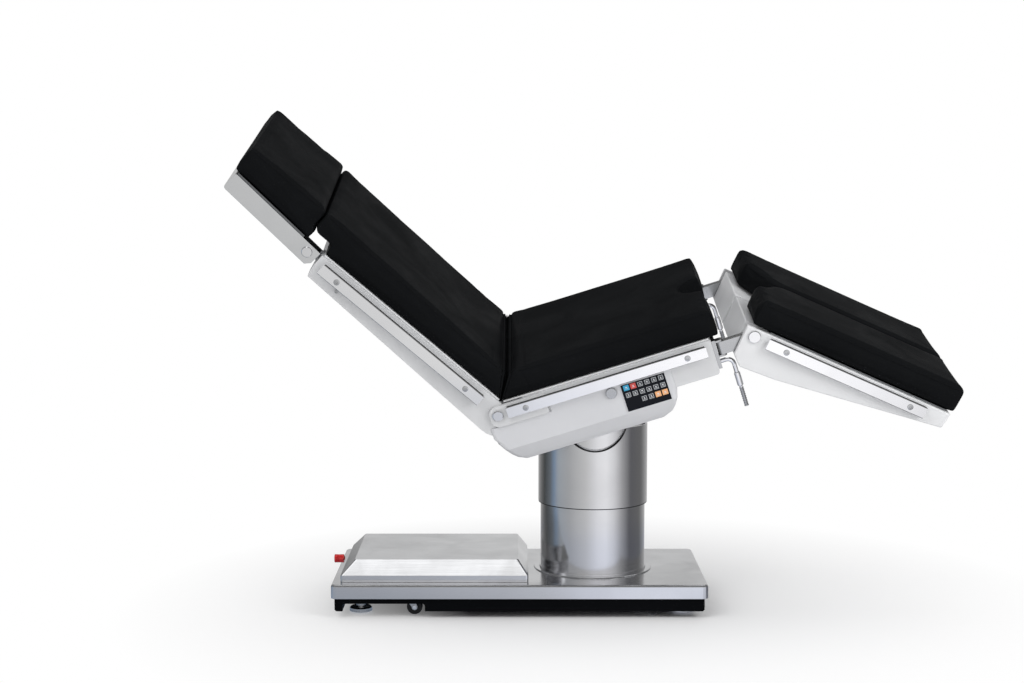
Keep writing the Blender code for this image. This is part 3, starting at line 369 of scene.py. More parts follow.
class Finishes:
    """Every finish on the table."""

    SHEET = Finish(
        "Satin stainless sheet", "steel", (0.71, 0.715, 0.73), 0.15, 1.0, stretch=(6, 380, 380), soften=0.0010
    )
    TUBE = Finish("Turned stainless tube", "steel", (0.68, 0.68, 0.69), 0.15, 1.0, stretch=(9, 9, 500))
    RAIL = Finish(
        "Ground steel rail", "steel", (0.94, 0.94, 0.95), 0.11, 1.0, stretch=(20, 500, 500), grain=0.02
    )
    MACHINED = Finish(
        "Machined steel", "machined", (0.50, 0.505, 0.51), 0.26, 1.0, stretch=(120, 300, 300), soften=0.0006
    )
    SCREW = Finish("Dark steel screw", "machined", (0.52, 0.525, 0.53), 0.20, 1.0, stretch=(120, 300, 300))
    BRIGHT = Finish("Polished chrome", "bright", (0.84, 0.84, 0.85), 0.06, 1.0, touched=0.03, soften=0.0005)
    BAND = Finish(
        "Polished steel band", "band", (0.76, 0.765, 0.77), 0.10, 1.0,
        stretch=(6, 400, 400), grain=0.02, soften=0.0010,
    )
    # The mill aluminium board is darkened to 0.20 as painted shade under the head and leg pads.
    BOARD_WITH_PAINTED_SHADE = Finish("Mill aluminium darkened as painted shade", "shell", (0.20, 0.205, 0.21), 0.36, 1.0, stretch=(8, 400, 400))
    PAINT = Finish("Pale grey powder coat", "paint", (0.62, 0.625, 0.635), 0.34, relief=0.08, soften=0.0012)
    SHELL = Finish("Pale grey enamel", "shell", (0.70, 0.705, 0.715), 0.30, relief=0.06, soften=0.0014)
    MOULDING = Finish(
        "Pale grey moulding", "moulding", (0.61, 0.615, 0.635), 0.40,
        relief=0.10, relief_scale=1400, soften=0.0012,
    )
    CASTING = Finish(
        "Black casting paint", "casting", (0.0025, 0.0028, 0.0035), 0.50,
        specular=0.03, relief=0.3, relief_scale=500, soften=0.002,
    )
    TREAD = Finish("Dark castor tread", "tread", (0.018, 0.018, 0.019), 0.62, specular=0.3, relief=0.2)
    RUBBER = Finish("Black rubber", "casting", (0.010, 0.010, 0.010), 0.55, specular=0.3, relief=0.2)
    FOIL = Finish(
        "Black membrane foil", "foil", (0.004, 0.005, 0.008), 0.30,
        specular=0.12, relief=0.05, relief_scale=2000,
    )
    MARK = Finish("Pale key mark", "foil", (0.62, 0.64, 0.66), 0.45, relief=0.03)
    RED = Finish("Red stop knob", "red", (0.58, 0.010, 0.010), 0.30, coat=0.3, relief=0.05)
    VINYL = Finish(
        "Black coated upholstery", "vinyl", (0.0066, 0.0071, 0.0078), 0.46, specular=0.008, relief=0.16,
        relief_scale=1300, leather=True, touched=0.08, tone=0.10,
    )


# Modelling


class Workpiece:
    """A mesh that is modelled with edit operators, in the flat frame of its section."""

    def __init__(self, obj: Object) -> None:
        """Wraps a new primitive."""
        self.obj = obj

    @staticmethod
    def clear() -> None:
        """Deselects every object."""
        for other in bpy.context.view_layer.objects.selected[:]:
            other.select_set(False)

    def take(self) -> None:
        """Selects the piece alone."""
        self.clear()
        self.obj.select_set(True)
        bpy.context.view_layer.objects.active = self.obj

    def discard(self) -> None:
        """Removes the piece once it has served as a pattern or a cutter."""
        bpy.data.objects.remove(self.obj)

    @classmethod
    def fresh(cls, name: str) -> Workpiece:
        """Returns the primitive that was just added, under a name."""
        bpy.context.object.name = name
        return cls(bpy.context.object)

    @classmethod
    def block(cls, name: str, low: Sequence[float], high: Sequence[float]) -> Workpiece:
        """A box between two corners."""
        cls.clear()
        middle = [(a + b) / 2 for a, b in zip(low, high)]
        bpy.ops.mesh.primitive_cube_add(size=1.0, location=middle)
        piece = cls.fresh(name)
        piece.obj.scale = [b - a for a, b in zip(low, high)]
        piece.settle()
        return piece

    @classmethod
    def round(
        cls, name: str, radius: float, low: float, high: float, centre: Point, axis: Axis, sides: int = 32
    ) -> Workpiece:
        """A round bar.

        Args:
            name: Its name.
            radius: Its radius.
            low: Where it starts along its axis.
            high: Where it ends.
            centre: A point of its axis.
            axis: Its direction.
            sides: The facets round it.

        Returns:
            The workpiece.
        """
        cls.clear()
        bpy.ops.mesh.primitive_cylinder_add(vertices=sides, radius=radius, depth=abs(high - low))
        piece = cls.fresh(name)
        shift = Matrix.Translation((0.0, 0.0, (low + high) / 2))
        piece.obj.data.transform(Matrix.Translation(centre) @ axis.turn() @ shift)
        return piece

    @classmethod
    def ring(cls, name: str, radius: float, wall: float, low: float, high: float, sides: int) -> Workpiece:
        """An upright ring.

        Args:
            name: Its name.
            radius: Its outer radius.
            wall: The thickness of its wall, inwards.
            low: Its lower level.
            high: Its upper level.
            sides: The facets round it.

        Returns:
            The workpiece, about the section's origin.
        """
        cls.clear()
        middle = (0, 0, (low + high) / 2)
        bpy.ops.mesh.primitive_cylinder_add(
            vertices=sides, radius=radius, depth=high - low, end_fill_type="NOTHING", location=middle
        )
        piece = cls.fresh(name)
        piece.settle()
        solid = piece.obj.modifiers.new("Wall", "SOLIDIFY")
        solid.thickness = wall
        solid.offset = -1.0
        piece.apply(solid.name)
        return piece

    @classmethod
    def joined(cls, name: str, pieces: Sequence[Workpiece]) -> Workpiece:
        """Joins small pieces into one workpiece."""
        cls.clear()
        for piece in pieces:
            piece.obj.select_set(True)
        bpy.context.view_layer.objects.active = pieces[0].obj
        bpy.ops.object.join()
        pieces[0].obj.name = name
        return pieces[0]

    def copy(self, name: str, offset: Sequence[float], mirrored: bool = False) -> Workpiece:
        """A copy with its own mesh.

        Args:
            name: The copy's name.
            offset: How far it stands from the first.
            mirrored: Whether it is turned over to the other side of the table first.

        Returns:
            The copy.
        """
        mesh = self.obj.data.copy()
        if mirrored:
            mesh.transform(Matrix.Scale(-1, 4, (0.0, 1.0, 0.0)))
            mesh.flip_normals()
        mesh.transform(Matrix.Translation(offset))
        return Workpiece(linked(name, mesh))

    def window(self, axis: str, rim: float) -> Workpiece:
        """Cuts a window right through the piece, leaving a rim."""
        self.pick(lambda face: facing(axis, 1)(face) or facing(axis, -1)(face))
        bpy.ops.mesh.inset(thickness=rim, depth=0.0, use_individual=True)
        bpy.ops.mesh.bridge_edge_loops()
        self.close()
        return self

    def settle(self) -> None:
        """Moves the object's place, turn and scale into its mesh."""
        self.take()
        bpy.ops.object.transform_apply(location=True, rotation=True, scale=True)

    def open(self) -> Form:
        """Returns the mesh in edit mode, with nothing selected."""
        self.take()
        bpy.ops.object.mode_set(mode="EDIT")
        bpy.ops.mesh.select_mode(type="FACE")
        bpy.ops.mesh.select_all(action="DESELECT")
        return bmesh.from_edit_mesh(self.obj.data)

    def close(self) -> None:
        """Leaves edit mode."""
        bpy.ops.object.mode_set(mode="OBJECT")

    def pick(self, test: FaceTest) -> None:
        """Opens the mesh and selects the faces that pass a test."""
        mesh = self.open()
        for face in mesh.faces:
            face.select_set(test(face))
        bmesh.update_edit_mesh(self.obj.data)

    def inset(self, test: FaceTest, thickness: float, depth: float = 0.0) -> Workpiece:
        """Insets the faces that pass a test, and sinks or raises them."""
        self.pick(test)
        bpy.ops.mesh.inset(thickness=thickness, depth=depth)
        self.close()
        return self

    def extrude(self, test: FaceTest, offset: Point) -> Workpiece:
        """Draws the faces that pass a test out by an offset."""
        self.pick(test)
        bpy.ops.mesh.extrude_region_move(TRANSFORM_OT_translate={"value": offset})
        self.close()
        return self

    def shrink(self, test: FaceTest, factor: float) -> Workpiece:
        """Scales the faces that pass a test about their own middle, across Z."""
        self.pick(test)
        mesh = bmesh.from_edit_mesh(self.obj.data)
        chosen = [face.calc_center_median() for face in mesh.faces if face.select]
        middle = sum(chosen, Vector()) / max(1, len(chosen))
        bpy.ops.transform.resize(value=(factor, factor, 1.0), center_override=middle)
        self.close()
        return self

    def cut_level(self, level: float) -> Workpiece:
        """Cuts a ring of edges all round at a level."""
        self.open()
        bpy.ops.mesh.select_all(action="SELECT")
        bpy.ops.mesh.bisect(plane_co=(0.0, 0.0, level), plane_no=(0.0, 0.0, 1.0))
        self.close()
        return self

    def cut(self, cutter: Workpiece) -> Workpiece:
        """Cuts another piece out of this one and discards the other."""
        difference = self.obj.modifiers.new("Cut", "BOOLEAN")
        difference.object = cutter.obj
        self.apply(difference.name)
        cutter.discard()
        return self

    def bevel(self, width: float, segments: int = 2, angle: float = 40.0) -> Workpiece:
        """Rounds the edges that are sharper than an angle, with an applied modifier."""
        edge = self.obj.modifiers.new("Rounded edges", "BEVEL")
        edge.width = width
        edge.segments = segments
        edge.limit_method = "ANGLE"
        edge.angle_limit = math.radians(angle)
        self.apply(edge.name)
        return self

    def apply(self, modifier: str) -> None:
        """Applies a modifier."""
        self.take()
        bpy.ops.object.modifier_apply(modifier=modifier)

    def dress(self, section: Section, finish: Finish) -> None:
        """Places the piece in the world, shades it and gives it its finish."""
        self.obj.data.transform(section.matrix)
        self.take()
        bpy.ops.object.shade_smooth_by_angle(angle=SMOOTH_ANGLE)
        if not finish.leather:
            normals = self.obj.modifiers.new("Flat faces lead", "WEIGHTED_NORMAL")
            normals.keep_sharp = True
            self.apply(normals.name)
        self.obj.data.materials.clear()
        self.obj.data.materials.append(finish.material())
        LOG.info("%s: %d faces", self.obj.name, len(self.obj.data.polygons))

    def finish(self, section: Section, finish: Finish, *replaced: str, body: str = "") -> Object:
        """Dresses the piece and rides it on its body.

        Args:
            section: The section that it is drawn in.
            finish: Its finish.
            *replaced: The CAD nodes that it stands for.
            body: The body that carries it, if not the section's own.

        Returns:
            The finished object.
        """
        self.dress(section, finish)
        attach(self.obj, body or section.body)
        if replaced:
            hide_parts(*replaced)
        return self.obj


def facing(axis: str, sign: int) -> FaceTest:
    """Returns a test for faces that look along an axis."""
    index = "XYZ".index(axis)
    return lambda face: face.normal[index] * sign > 0.9


def end_face(axis: str, sign: int, corners: int) -> FaceTest:
    """Returns a test for an end face with a number of corners, which looks along an axis."""
    outward = facing(axis, sign)
    return lambda face: outward(face) and len(face.verts) == corners


# Upholstery


def tube(name: str, path: Sequence[Vector], radius: float, closed: bool, sides: int = 6) -> Object:
    """Builds a thin bead along a path.

    Args:
        name: Its name.
        path: The points along its middle.
        radius: Its radius.
        closed: Whether it ends where it starts.
        sides: The facets round it.

    Returns:
        The bead.
    """
    count = len(path)
    form = bmesh.new()
    rings = []
    side = Vector((0.0, 0.0, 1.0))
    for index, point in enumerate(path):
        ahead = path[(index + 1) % count] if closed or index + 1 < count else point
        behind = path[index - 1] if closed or index else point
        along = (ahead - behind).normalized()
        side = (side - along * side.dot(along)).normalized()
        other = along.cross(side)
        turns = [2 * math.pi * step / sides for step in range(sides)]
        arms = [(side * math.cos(turn) + other * math.sin(turn)) * radius for turn in turns]
        rings.append([form.verts.new(point + arm) for arm in arms])
    pairs = zip(rings, rings[1:] + rings[:1]) if closed else zip(rings, rings[1:])
    for first, second in pairs:
        skin(form, first, second)
    if not closed:
        form.faces.new(rings[0])
        form.faces.new(rings[-1])
    return placed(name, form)


def skin(form: Form, first: Sequence[bmesh.types.BMVert], second: Sequence[bmesh.types.BMVert]) -> None:
    """Joins two rings of points with faces all round."""
    for index, point in enumerate(first):
        after = (index + 1) % len(first)
        form.faces.new((point, first[after], second[after], second[index]))


def placed(name: str, form: Form) -> Object:
    """Returns a new object that holds a finished form, with its faces outwards."""
    bmesh.ops.recalc_face_normals(form, faces=form.faces)
    mesh = bpy.data.meshes.new(name)
    form.to_mesh(mesh)
    form.free()
    return linked(name, mesh)


def linked(name: str, mesh: bpy.types.Mesh) -> Object:
    """Returns a new object in the scene that holds a mesh."""
    obj = bpy.data.objects.new(name, mesh)
    bpy.context.scene.collection.objects.link(obj)
    return obj


@dataclass(frozen=True)
class Crease:
    """A soft fold across a pad: where it runs, which way, and how wide and deep it is pressed."""

    place: Point
    along: Point
    reach: float
    width: float = 0.004
    depth: float = 0.0016

    def press(self, point: Vector) -> float:
        """Returns how far the skin sinks at a point."""
        along = Vector(self.along).normalized()
        offset = point - Vector(self.place)
        run = offset.dot(along)
        across = (offset - along * run).length
        fade = max(0.0, 1.0 - (run / self.reach) ** 2)
        return self.depth * fade * math.exp(-((across / self.width) ** 2))


@dataclass
class Pad:
    """An upholstered pad: a foam block in a coated cover, filled out by a cloth simulation."""

    name: str
    node: str
    section: Section
    rim: list[Point]
    swell: float = 0.0025
    pressure: float = 4.0
    voxel: float = 0.0055
    frames: int = 12
    edge: float = 0.004
    bead: float = 0.0011
    foam: float = 0.95
    creases: tuple[Crease, ...] = ()

    def build(self) -> None:
        """Makes, fills and dresses the pad and the sewn seam round its top."""
        obj = self.blank()
        Workpiece(obj).bevel(self.edge, 3, 20.0)
        self.fill(obj)
        if self.creases:
            self.fold(obj)
        self.seam(obj)
        made = Workpiece(obj).finish(self.section, Finishes.VINYL, self.node)
        made.data.shade_smooth()

    def blank(self) -> Object:
        """Returns the pad's sharp closed form."""
        raise NotImplementedError

    def fill(self, obj: Object) -> None:
        """Remeshes the form, inflates it a little and applies the result.

        Args:
            obj: The pad's form, changed in place.
        """
        piece = Workpiece(obj)
        remesh = obj.modifiers.new("Even mesh", "REMESH")
        remesh.mode = "VOXEL"
        remesh.voxel_size = self.voxel
        piece.apply(remesh.name)
        start = [vertex.co.copy() for vertex in obj.data.vertices]
        cloth = obj.modifiers.new("Filling", "CLOTH")
        cloth.settings.use_pressure = True
        cloth.settings.uniform_pressure_force = self.pressure
        cloth.settings.tension_stiffness = 40
        cloth.settings.bending_stiffness = 2.0
        cloth.settings.effector_weights.gravity = 0.0
        cloth.point_cache.frame_end = self.frames
        for frame in range(1, self.frames + 1):
            bpy.context.scene.frame_set(frame)
        filled = obj.evaluated_get(bpy.context.evaluated_depsgraph_get()).data
        moved = [vertex.co.copy() for vertex in filled.vertices]
        obj.modifiers.remove(cloth)
        bpy.context.scene.frame_set(1)
        for vertex, old, new in zip(obj.data.vertices, start, moved):
            step = new - old
            if step.length > self.swell:
                step.length = self.swell
            vertex.co = old + step
        smooth = obj.modifiers.new("Even skin", "SMOOTH")
        smooth.iterations = 1
        smooth.factor = 0.30
        piece.apply(smooth.name)
        finer = obj.modifiers.new("Finer skin", "SUBSURF")
        finer.levels = finer.render_levels = 1
        piece.apply(finer.name)

    def fold(self, obj: Object) -> None:
        """Presses the folds into the cover.

        Args:
            obj: The filled pad, changed in place.
        """
        for vertex in obj.data.vertices:
            depth = sum(crease.press(vertex.co) for crease in self.creases)
            if depth > 0.00005:
                vertex.co -= vertex.normal * depth

    def seam(self, obj: Object) -> None:
        """Lays a sewn bead round the rim, snapped to the filled cover.

        Args:
            obj: The finished pad.
        """
        path = []
        for start, end in zip(self.rim, self.rim[1:] + self.rim[:1]):
            first, last = Vector(start), Vector(end)
            steps = max(1, round((last - first).length / 0.008))
            path += [first.lerp(last, step / steps) for step in range(steps)]
        snapped = [obj.closest_point_on_mesh(point)[1] for point in path]
        for _ in range(2):
            behind, ahead = snapped[-1:] + snapped[:-1], snapped[1:] + snapped[:1]
            snapped = [(a + point * 2 + b) / 4 for a, point, b in zip(behind, snapped, ahead)]
        bead = tube(f"{self.name}_seam", snapped, self.bead, True)
        Workpiece(bead).finish(self.section, Finishes.VINYL)


@dataclass
class ProfilePad(Pad):
    """A pad with one side profile all across it."""

    profile: Outline = field(default_factory=list)
    half: float = 0.2490
    notch: tuple[float, float] | None = None

    def blank(self) -> Object:
        """Returns the profile drawn across the table, with its half-round notch cut out.

        Returns:
            The sharp closed form.
        """
        form = bmesh.new()
        near, far = ([form.verts.new((x, y, z)) for x, z in self.profile] for y in (-self.half, self.half))
        form.faces.new(near)
        form.faces.new(far)
        skin(form, near, far)
        obj = placed(self.name, form)
        if self.notch:
            place, radius = self.notch
            cutter = Workpiece.round(f"{self.name}_cutter", radius, 0.0, 0.2, (place, 0.0, 0.0), Axis.Z, 48)
            Workpiece(obj).cut(cutter)
        return obj


@dataclass
class PlanPad(Pad):
    """A pad with its plan drawn at each level."""

    levels: list[tuple[Outline, float]] = field(default_factory=list)

    def blank(self) -> Object:
        """Returns the plans joined from level to level.

        Returns:
            The sharp closed form.
        """
        form = bmesh.new()
        rings = [[form.verts.new((x, y, z)) for x, y in outline] for outline, z in self.levels]
        form.faces.new(rings[0])
        form.faces.new(rings[-1])
        for low, high in zip(rings, rings[1:]):
            skin(form, low, high)
        return placed(self.name, form)


@dataclass
class TopPads:
    """Pads of the seat, back and head, and the folded cover between seat and back."""

    sections: dict[str, Section]
    half: float = 0.2490
    slant: float = 1.428
    hip: tuple[float, float] = (-0.284, 0.031)
    seat_low: float = 0.0594
    seat_high: float = 0.1247
    seat_foot: tuple[float, float] = (0.2952, 0.2880)
    notch: tuple[float, float] = (0.296, 0.062)

    def seat(self) -> None:
        """Builds the seat pad, with the half-round notch in its foot end."""
        low, high = self.seat_low, self.seat_high
        start = [self.hip[0] + (z - self.hip[1]) / self.slant + 0.001 for z in (low, high)]
        profile = [(start[0], low), (self.seat_foot[0], low), (self.seat_foot[1], high), (start[1], high)]
        place, radius = self.notch
        round_cut = [
            (place - radius * math.cos(turn), radius * math.sin(turn), high)
            for turn in (math.radians(degrees) for degrees in range(-80, 81, 16))
        ]
        rim = [(start[1], -self.half, high), (self.seat_foot[1], -self.half, high)]
        rim += [(self.seat_foot[1], -radius, high), *round_cut, (self.seat_foot[1], radius, high)]
        rim += [(self.seat_foot[1], self.half, high), (start[1], self.half, high)]
        creases = (
            Crease((start[1] + 0.030, -0.16, high), (0.0, 1.0, 0.0), 0.12, 0.005, 0.0022),
            Crease((start[1] + 0.024, -self.half, 0.095), (-0.15, 0.0, 1.0), 0.040, 0.004, 0.0020),
            Crease((start[1] + 0.010, -0.05, high), (0.25, 1.0, 0.0), 0.10, 0.004, 0.0012),
            Crease((start[1] + 0.020, 0.15, high), (0.0, 1.0, 0.0), 0.10, 0.004, 0.0014),
        )
        ProfilePad(
            "Seat_cushion", "seat_pad", self.sections["seat"], rim,
            creases=creases, profile=profile, half=self.half, notch=self.notch,
        ).build()

    def back(self) -> None:
        """Builds the back pad, with its lip over the neck."""
        side = [(0.0224, 0.0314), (0.5842, 0.0314), (0.5842, 0.0588), (0.6315, 0.0588)]
        side += [(0.6437, 0.0685), (0.6437, 0.1117), (0.0652, 0.0912)]
        profile = [(-a, b) for a, b in side]
        crown, hip = (-0.6437, 0.1117), (-0.0652, 0.0912)
        rim = [(x, y, z) for (x, z), y in ((crown, -1), (hip, -1), (hip, 1), (crown, 1))]
        rim = [(x, y * self.half, z) for x, y, z in rim]
        creases = (
            Crease((-0.098, -0.18, 0.0924), (0.0, 1.0, 0.0), 0.10, 0.004, 0.0014),
            Crease((-0.090, -self.half, 0.065), (0.3, 0.0, 1.0), 0.035, 0.004, 0.0016),
        )
        ProfilePad(
            "Back_cushion", "back_pad", self.sections["back"], rim,
            creases=creases, profile=profile, half=self.half,
        ).build()

    def head(self) -> None:
        """Builds the head pad, cut away under its neck end."""
        side = [(0.0185, 0.0244), (0.0185, 0.0352), (0.0222, 0.0479), (0.0308, 0.0563)]
        side += [(0.0338, 0.1041), (0.2662, 0.0887), (0.2607, 0.0478), (0.2607, 0.0244)]
        profile = [(-a, b) for a, b in side]
        corners = ((-0.2662, -1, 0.0887), (-0.0338, -1, 0.1041), (-0.0338, 1, 0.1041), (-0.2662, 1, 0.0887))
        rim = [(x, y * self.half, z) for x, y, z in corners]
        ProfilePad(
            "Head_cushion", "head_pad", self.sections["head"], rim, profile=profile, half=self.half
        ).build()

    def gusset(self) -> None:
        """Builds the folded cover between the seat and back pads, pleated like a fan."""
        hip = Vector((self.hip[0], 0.0, self.hip[1]))
        middle = math.radians(60.25)
        along = Vector((math.cos(middle), 0.0, math.sin(middle)))
        across = Vector((-math.sin(middle), 0.0, math.cos(middle)))
        reach = 0.0026
        blades = [(-0.0108, 0.108), (-0.0060, 0.109), (-reach, 0.103), (-reach / 2, 0.107), (0.0, 0.098)]
        blades += [(reach / 2, 0.107), (reach, 0.103), (0.0060, 0.108), (0.0108, 0.106)]
        form = bmesh.new()
        rows = []
        for width in (-0.2465, -0.2440, -0.12, 0.0, 0.12, 0.2440, 0.2465):
            row = []
            for offset, out in blades:
                deep = 0.006 if out < 0.105 else 0.0
                y = math.copysign(abs(width) - (deep if abs(width) > 0.2 else 0.0), width)
                drop = 0.004 if abs(width) > 0.245 else 0.0
                tip = hip + along * (out - drop) + across * offset
                root = hip + along * 0.034 + across * offset * 0.34
                row.append([form.verts.new(end + Vector((0, y, 0))) for end in (root, tip)])
            rows.append(row)
        for first, second in zip(rows, rows[1:]):
            for index in range(len(blades) - 1):
                for level in (0, 1):
                    a, b = first[index][level], first[index + 1][level]
                    form.faces.new((a, b, second[index + 1][level], second[index][level]))
            for index in (0, -1):
                form.faces.new((*first[index], *reversed(second[index])))
        for row in (rows[0], rows[-1]):
            for index in range(len(blades) - 1):
                form.faces.new((*row[index], *reversed(row[index + 1])))
        piece = Workpiece(placed("Hip_cover_fold", form))
        piece.dress(self.sections["seat"], Finishes.VINYL)
        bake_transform(piece.obj)

    def build(self) -> None:
        """Builds the three pads and the folded cover."""
        self.seat()
        self.back()
        self.head()
        self.gusset()


@dataclass
class LegPad:
    """The pad of one leg, rounded off towards the crotch, with a cut edge round its top."""

    section: Section
    side: str
    start: float = -0.0172
    end: float = 0.5437
    inner: float = 0.0048
    outer: float = 0.2492
    low: float = 0.0249
    high: float = 0.0888
    edge: float = 0.006

    def outline(self, inset: float) -> Outline:
        """Returns the plan, drawn in by an inset."""
        sign = SIDES[self.side]
        flat = [
            (self.start + inset, self.outer - inset),
            (self.start + inset, 0.102),
            (0.010 + inset * 0.9, 0.070 + inset * 0.4),
            (0.036 + inset * 0.7, 0.028 + inset * 0.7),
            (0.070 + inset * 0.4, self.inner + inset),
            (self.end - inset, self.inner + inset),
            (self.end - inset, self.outer - inset),
        ]
        return [(x, sign * y) for x, y in flat]

    def build(self) -> None:
        """Builds the pad from its plan at three levels."""
        shoulder = self.high - self.edge
        full = self.outline(0.0)
        levels = [(full, self.low), (full, shoulder), (self.outline(self.edge), self.high)]
        rim = [(x, y, shoulder) for x, y in full]
        PlanPad(
            f"Leg_cushion_{self.side}", f"leg_pad_{self.side}", self.section, rim, edge=0.004, levels=levels
        ).build()


# Fittings


class Key(Enum):
    """The keys' finishes."""

    DARK = Finish("Dark key", "foil", (0.020, 0.023, 0.030), 0.35, specular=0.2, relief=0.04)
    BLUE = Finish("Blue key", "foil", (0.03, 0.36, 0.60), 0.35, relief=0.04)
    RED = Finish("Red key", "foil", (0.60, 0.07, 0.06), 0.35, relief=0.04)
    ORANGE = Finish("Orange key", "foil", (0.80, 0.40, 0.18), 0.35, relief=0.04)


@dataclass
class Keypad:
    """Sixteen raised membrane keys with plain marks, in a thin frame on the right flank."""

    section: Section
    pitch: float = 0.0177
    size: float = 0.0144
    face: float = -0.25785
    left: float = 0.0387
    top: float = 0.0015
    frame_x: tuple[float, float] = (0.0248, 0.1392)
    frame_z: tuple[float, float] = (-0.0617, 0.0122)
    rim: float = 0.0011
    mark_depth: float = 0.0006

    def build(self) -> None:
        """Builds the frame, then the keys row by row."""
        self.frame()
        rows = [
            (0, [Key.BLUE, Key.RED, Key.DARK, Key.DARK, Key.DARK, Key.DARK]),
            (0, [Key.DARK] * 6),
            (2, [Key.DARK, Key.DARK, Key.ORANGE, Key.ORANGE]),
        ]
        first = self.key()
        marks = []
        for row, (start, kinds) in enumerate(rows):
            for index, kind in enumerate(kinds, start):
                x, z = self.left + index * self.pitch, self.top - row * (self.pitch + 0.002)
                copy = first.copy(f"Key_{row + 1}_{index + 1}", (x, 0.0, z))
                copy.finish(self.section, kind.value)
                marks += self.mark(x, z, row + index, kind)
        first.discard()
        Workpiece.joined("Key_marks", marks).finish(self.section, Finishes.MARK)

    def frame(self) -> None:
        """Builds the thin frame round the panel."""
        (x0, x1), (z0, z1) = self.frame_x, self.frame_z
        low, high = (x0, self.face - 0.0002, z0), (x1, self.face + 0.0030, z1)
        piece = Workpiece.block("Keypad_frame", low, high)
        piece.window("Y", self.rim)
        piece.bevel(0.0003, 2)
        piece.finish(self.section, Finishes.MOULDING)

    def key(self) -> Workpiece:
        """Returns one key at the section's origin, domed at its rim."""
        half = self.size / 2
        piece = Workpiece.block("Key", (-half, self.face - 0.0005, -half), (half, self.face + 0.0005, half))
        piece.inset(facing("Y", -1), 0.0010, 0.0003)
        return piece.bevel(0.0003, 2)

    def mark(self, x: float, z: float, number: int, kind: Key) -> list[Workpiece]:
        """Returns one key's plain mark: a thin outline round a bar, an arrow or a block.

        Args:
            x: The key's place along the panel.
            z: Its place up the panel.
            number: Its number, which sets the mark.
            kind: The key's kind.

        Returns:
            The mark's pieces.
        """
        front, half = self.face - 0.00105, self.size * 0.40
        back = front + self.mark_depth
        pieces = []
        if kind is Key.DARK:
            low, high = (x - half, front, z - half), (x + half, back, z + half)
            pieces.append(Workpiece.block("Outline", low, high).window("Y", 0.0009))
        bar = Workpiece.block("Bar", (x - 0.0034, front, z - 0.0030), (x + 0.0034, back, z - 0.0019))
        pieces.append(bar.bevel(0.0001, 1))
        if number % 3 == 0:
            other = Workpiece.block("Bar", (x - 0.0024, front, z), (x + 0.0024, back, z + 0.0026))
        else:
            other = Workpiece.round("Arrow", 0.0027, front, back, (x, 0.0, z + 0.0008), Axis.Y, 3)
        return [*pieces, other.bevel(0.0001, 1)]


@dataclass
class RailScrews:
    """Domed socket screws in the side rails, all copies of one."""

    sections: dict[str, Section]
    face: float = 0.274
    head: float = 0.0076
    socket: float = 0.0030
    proud: float = 0.0010

    def screw(self) -> Workpiece:
        """Returns one screw at the section's origin, looking to the right side."""
        low, high = -self.face - self.proud, -self.face + 0.0004
        piece = Workpiece.round("Screw", self.head, low, high, (0.0, 0.0, 0.0), Axis.Y, 24)
        outward, middle = facing("Y", -1), end_face("Y", -1, 24)
        piece.inset(outward, 0.0012, 0.0006).inset(middle, self.head - self.socket - 0.0012, 0.0002)
        return piece.inset(middle, 0.0003, -0.0014).bevel(0.0003, 2)

    def build(self) -> None:
        """Builds a screw at each place of each rail."""
        first = self.screw()
        for name, sign in SIDES.items():
            places = {
                "Seat": (self.sections["seat"], ((-0.211, 0.034), (0.204, 0.034))),
                "Back": (self.sections["back"], ((-0.1095, 0.003), (-0.5203, 0.003))),
                "Leg": (self.sections[f"leg_{name}"], ((0.085, 0.0), (0.427, 0.0))),
            }
            for part, (section, spots) in places.items():
                for number, (x, z) in enumerate(spots, 1):
                    copy = first.copy(f"{part}_rail_{name}_screw_{number}", (x, 0.0, z), mirrored=sign > 0)
                    copy.finish(section, Finishes.SCREW)
        first.discard()


@dataclass
class RailShadeStrips:
    """A black strip of painted shade on the upper edge of each side rail, darkening the rail's top face under
    the pad.
    """

    sections: dict[str, Section]
    inner: float = 0.2658
    outer: float = 0.2724
    thickness: float = 0.0008
    sunk: float = 0.0003
    height: float = 0.029
    short: float = 0.003

    def build(self) -> None:
        """Builds one painted shade strip for each part and copies it to the other side."""
        spans = {"Seat": (-0.259, 0.254, 0.034), "Back": (-0.571, -0.060, 0.003), "Leg": (0.034, 0.469, 0.0)}
        for part, (start, end, level) in spans.items():
            low = level + self.height / 2 - self.sunk
            near = (start + self.short, -self.outer, low)
            far = (end - self.short, -self.inner, low + self.thickness)
            first = Workpiece.block(f"{part}_strip", near, far)
            first.inset(facing("Z", 1), 0.0008, 0.0002).bevel(0.0002, 1)
            for name, sign in SIDES.items():
                section = self.sections[f"leg_{name}" if part == "Leg" else part.lower()]
                copy = first.copy(f"{part}_rail_shade_strip_{name}", (0.0, 0.0, 0.0), mirrored=sign > 0)
                # The black rubber finish on this strip is painted shade on the rail's top face, not a real
                # part.
                copy.finish(section, Finishes.RUBBER)
            first.discard()


@dataclass
class LowerScrews:
    """The small cap screws under the back's rails."""

    section: Section
    x: float = -0.504
    z: float = -0.0205
    shell: float = 0.2560
    head: float = 0.0042
    height: float = 0.0035

    def build(self) -> None:
        """Builds one on each side."""
        low, high = -self.shell - self.height, -self.shell + 0.001
        first = Workpiece.round("Cap_screw", self.head, low, high, (0.0, 0.0, 0.0), Axis.Y, 20)
        first.inset(facing("Y", -1), self.head * 0.5, 0.0)
        first.inset(end_face("Y", -1, 20), 0.0002, -0.0015)
        first.bevel(0.0004, 2)
        for name, sign in SIDES.items():
            copy = first.copy(f"Back_cap_screw_{name}", (self.x, 0.0, self.z), mirrored=sign > 0)
            copy.finish(self.section, Finishes.MACHINED)
        first.discard()


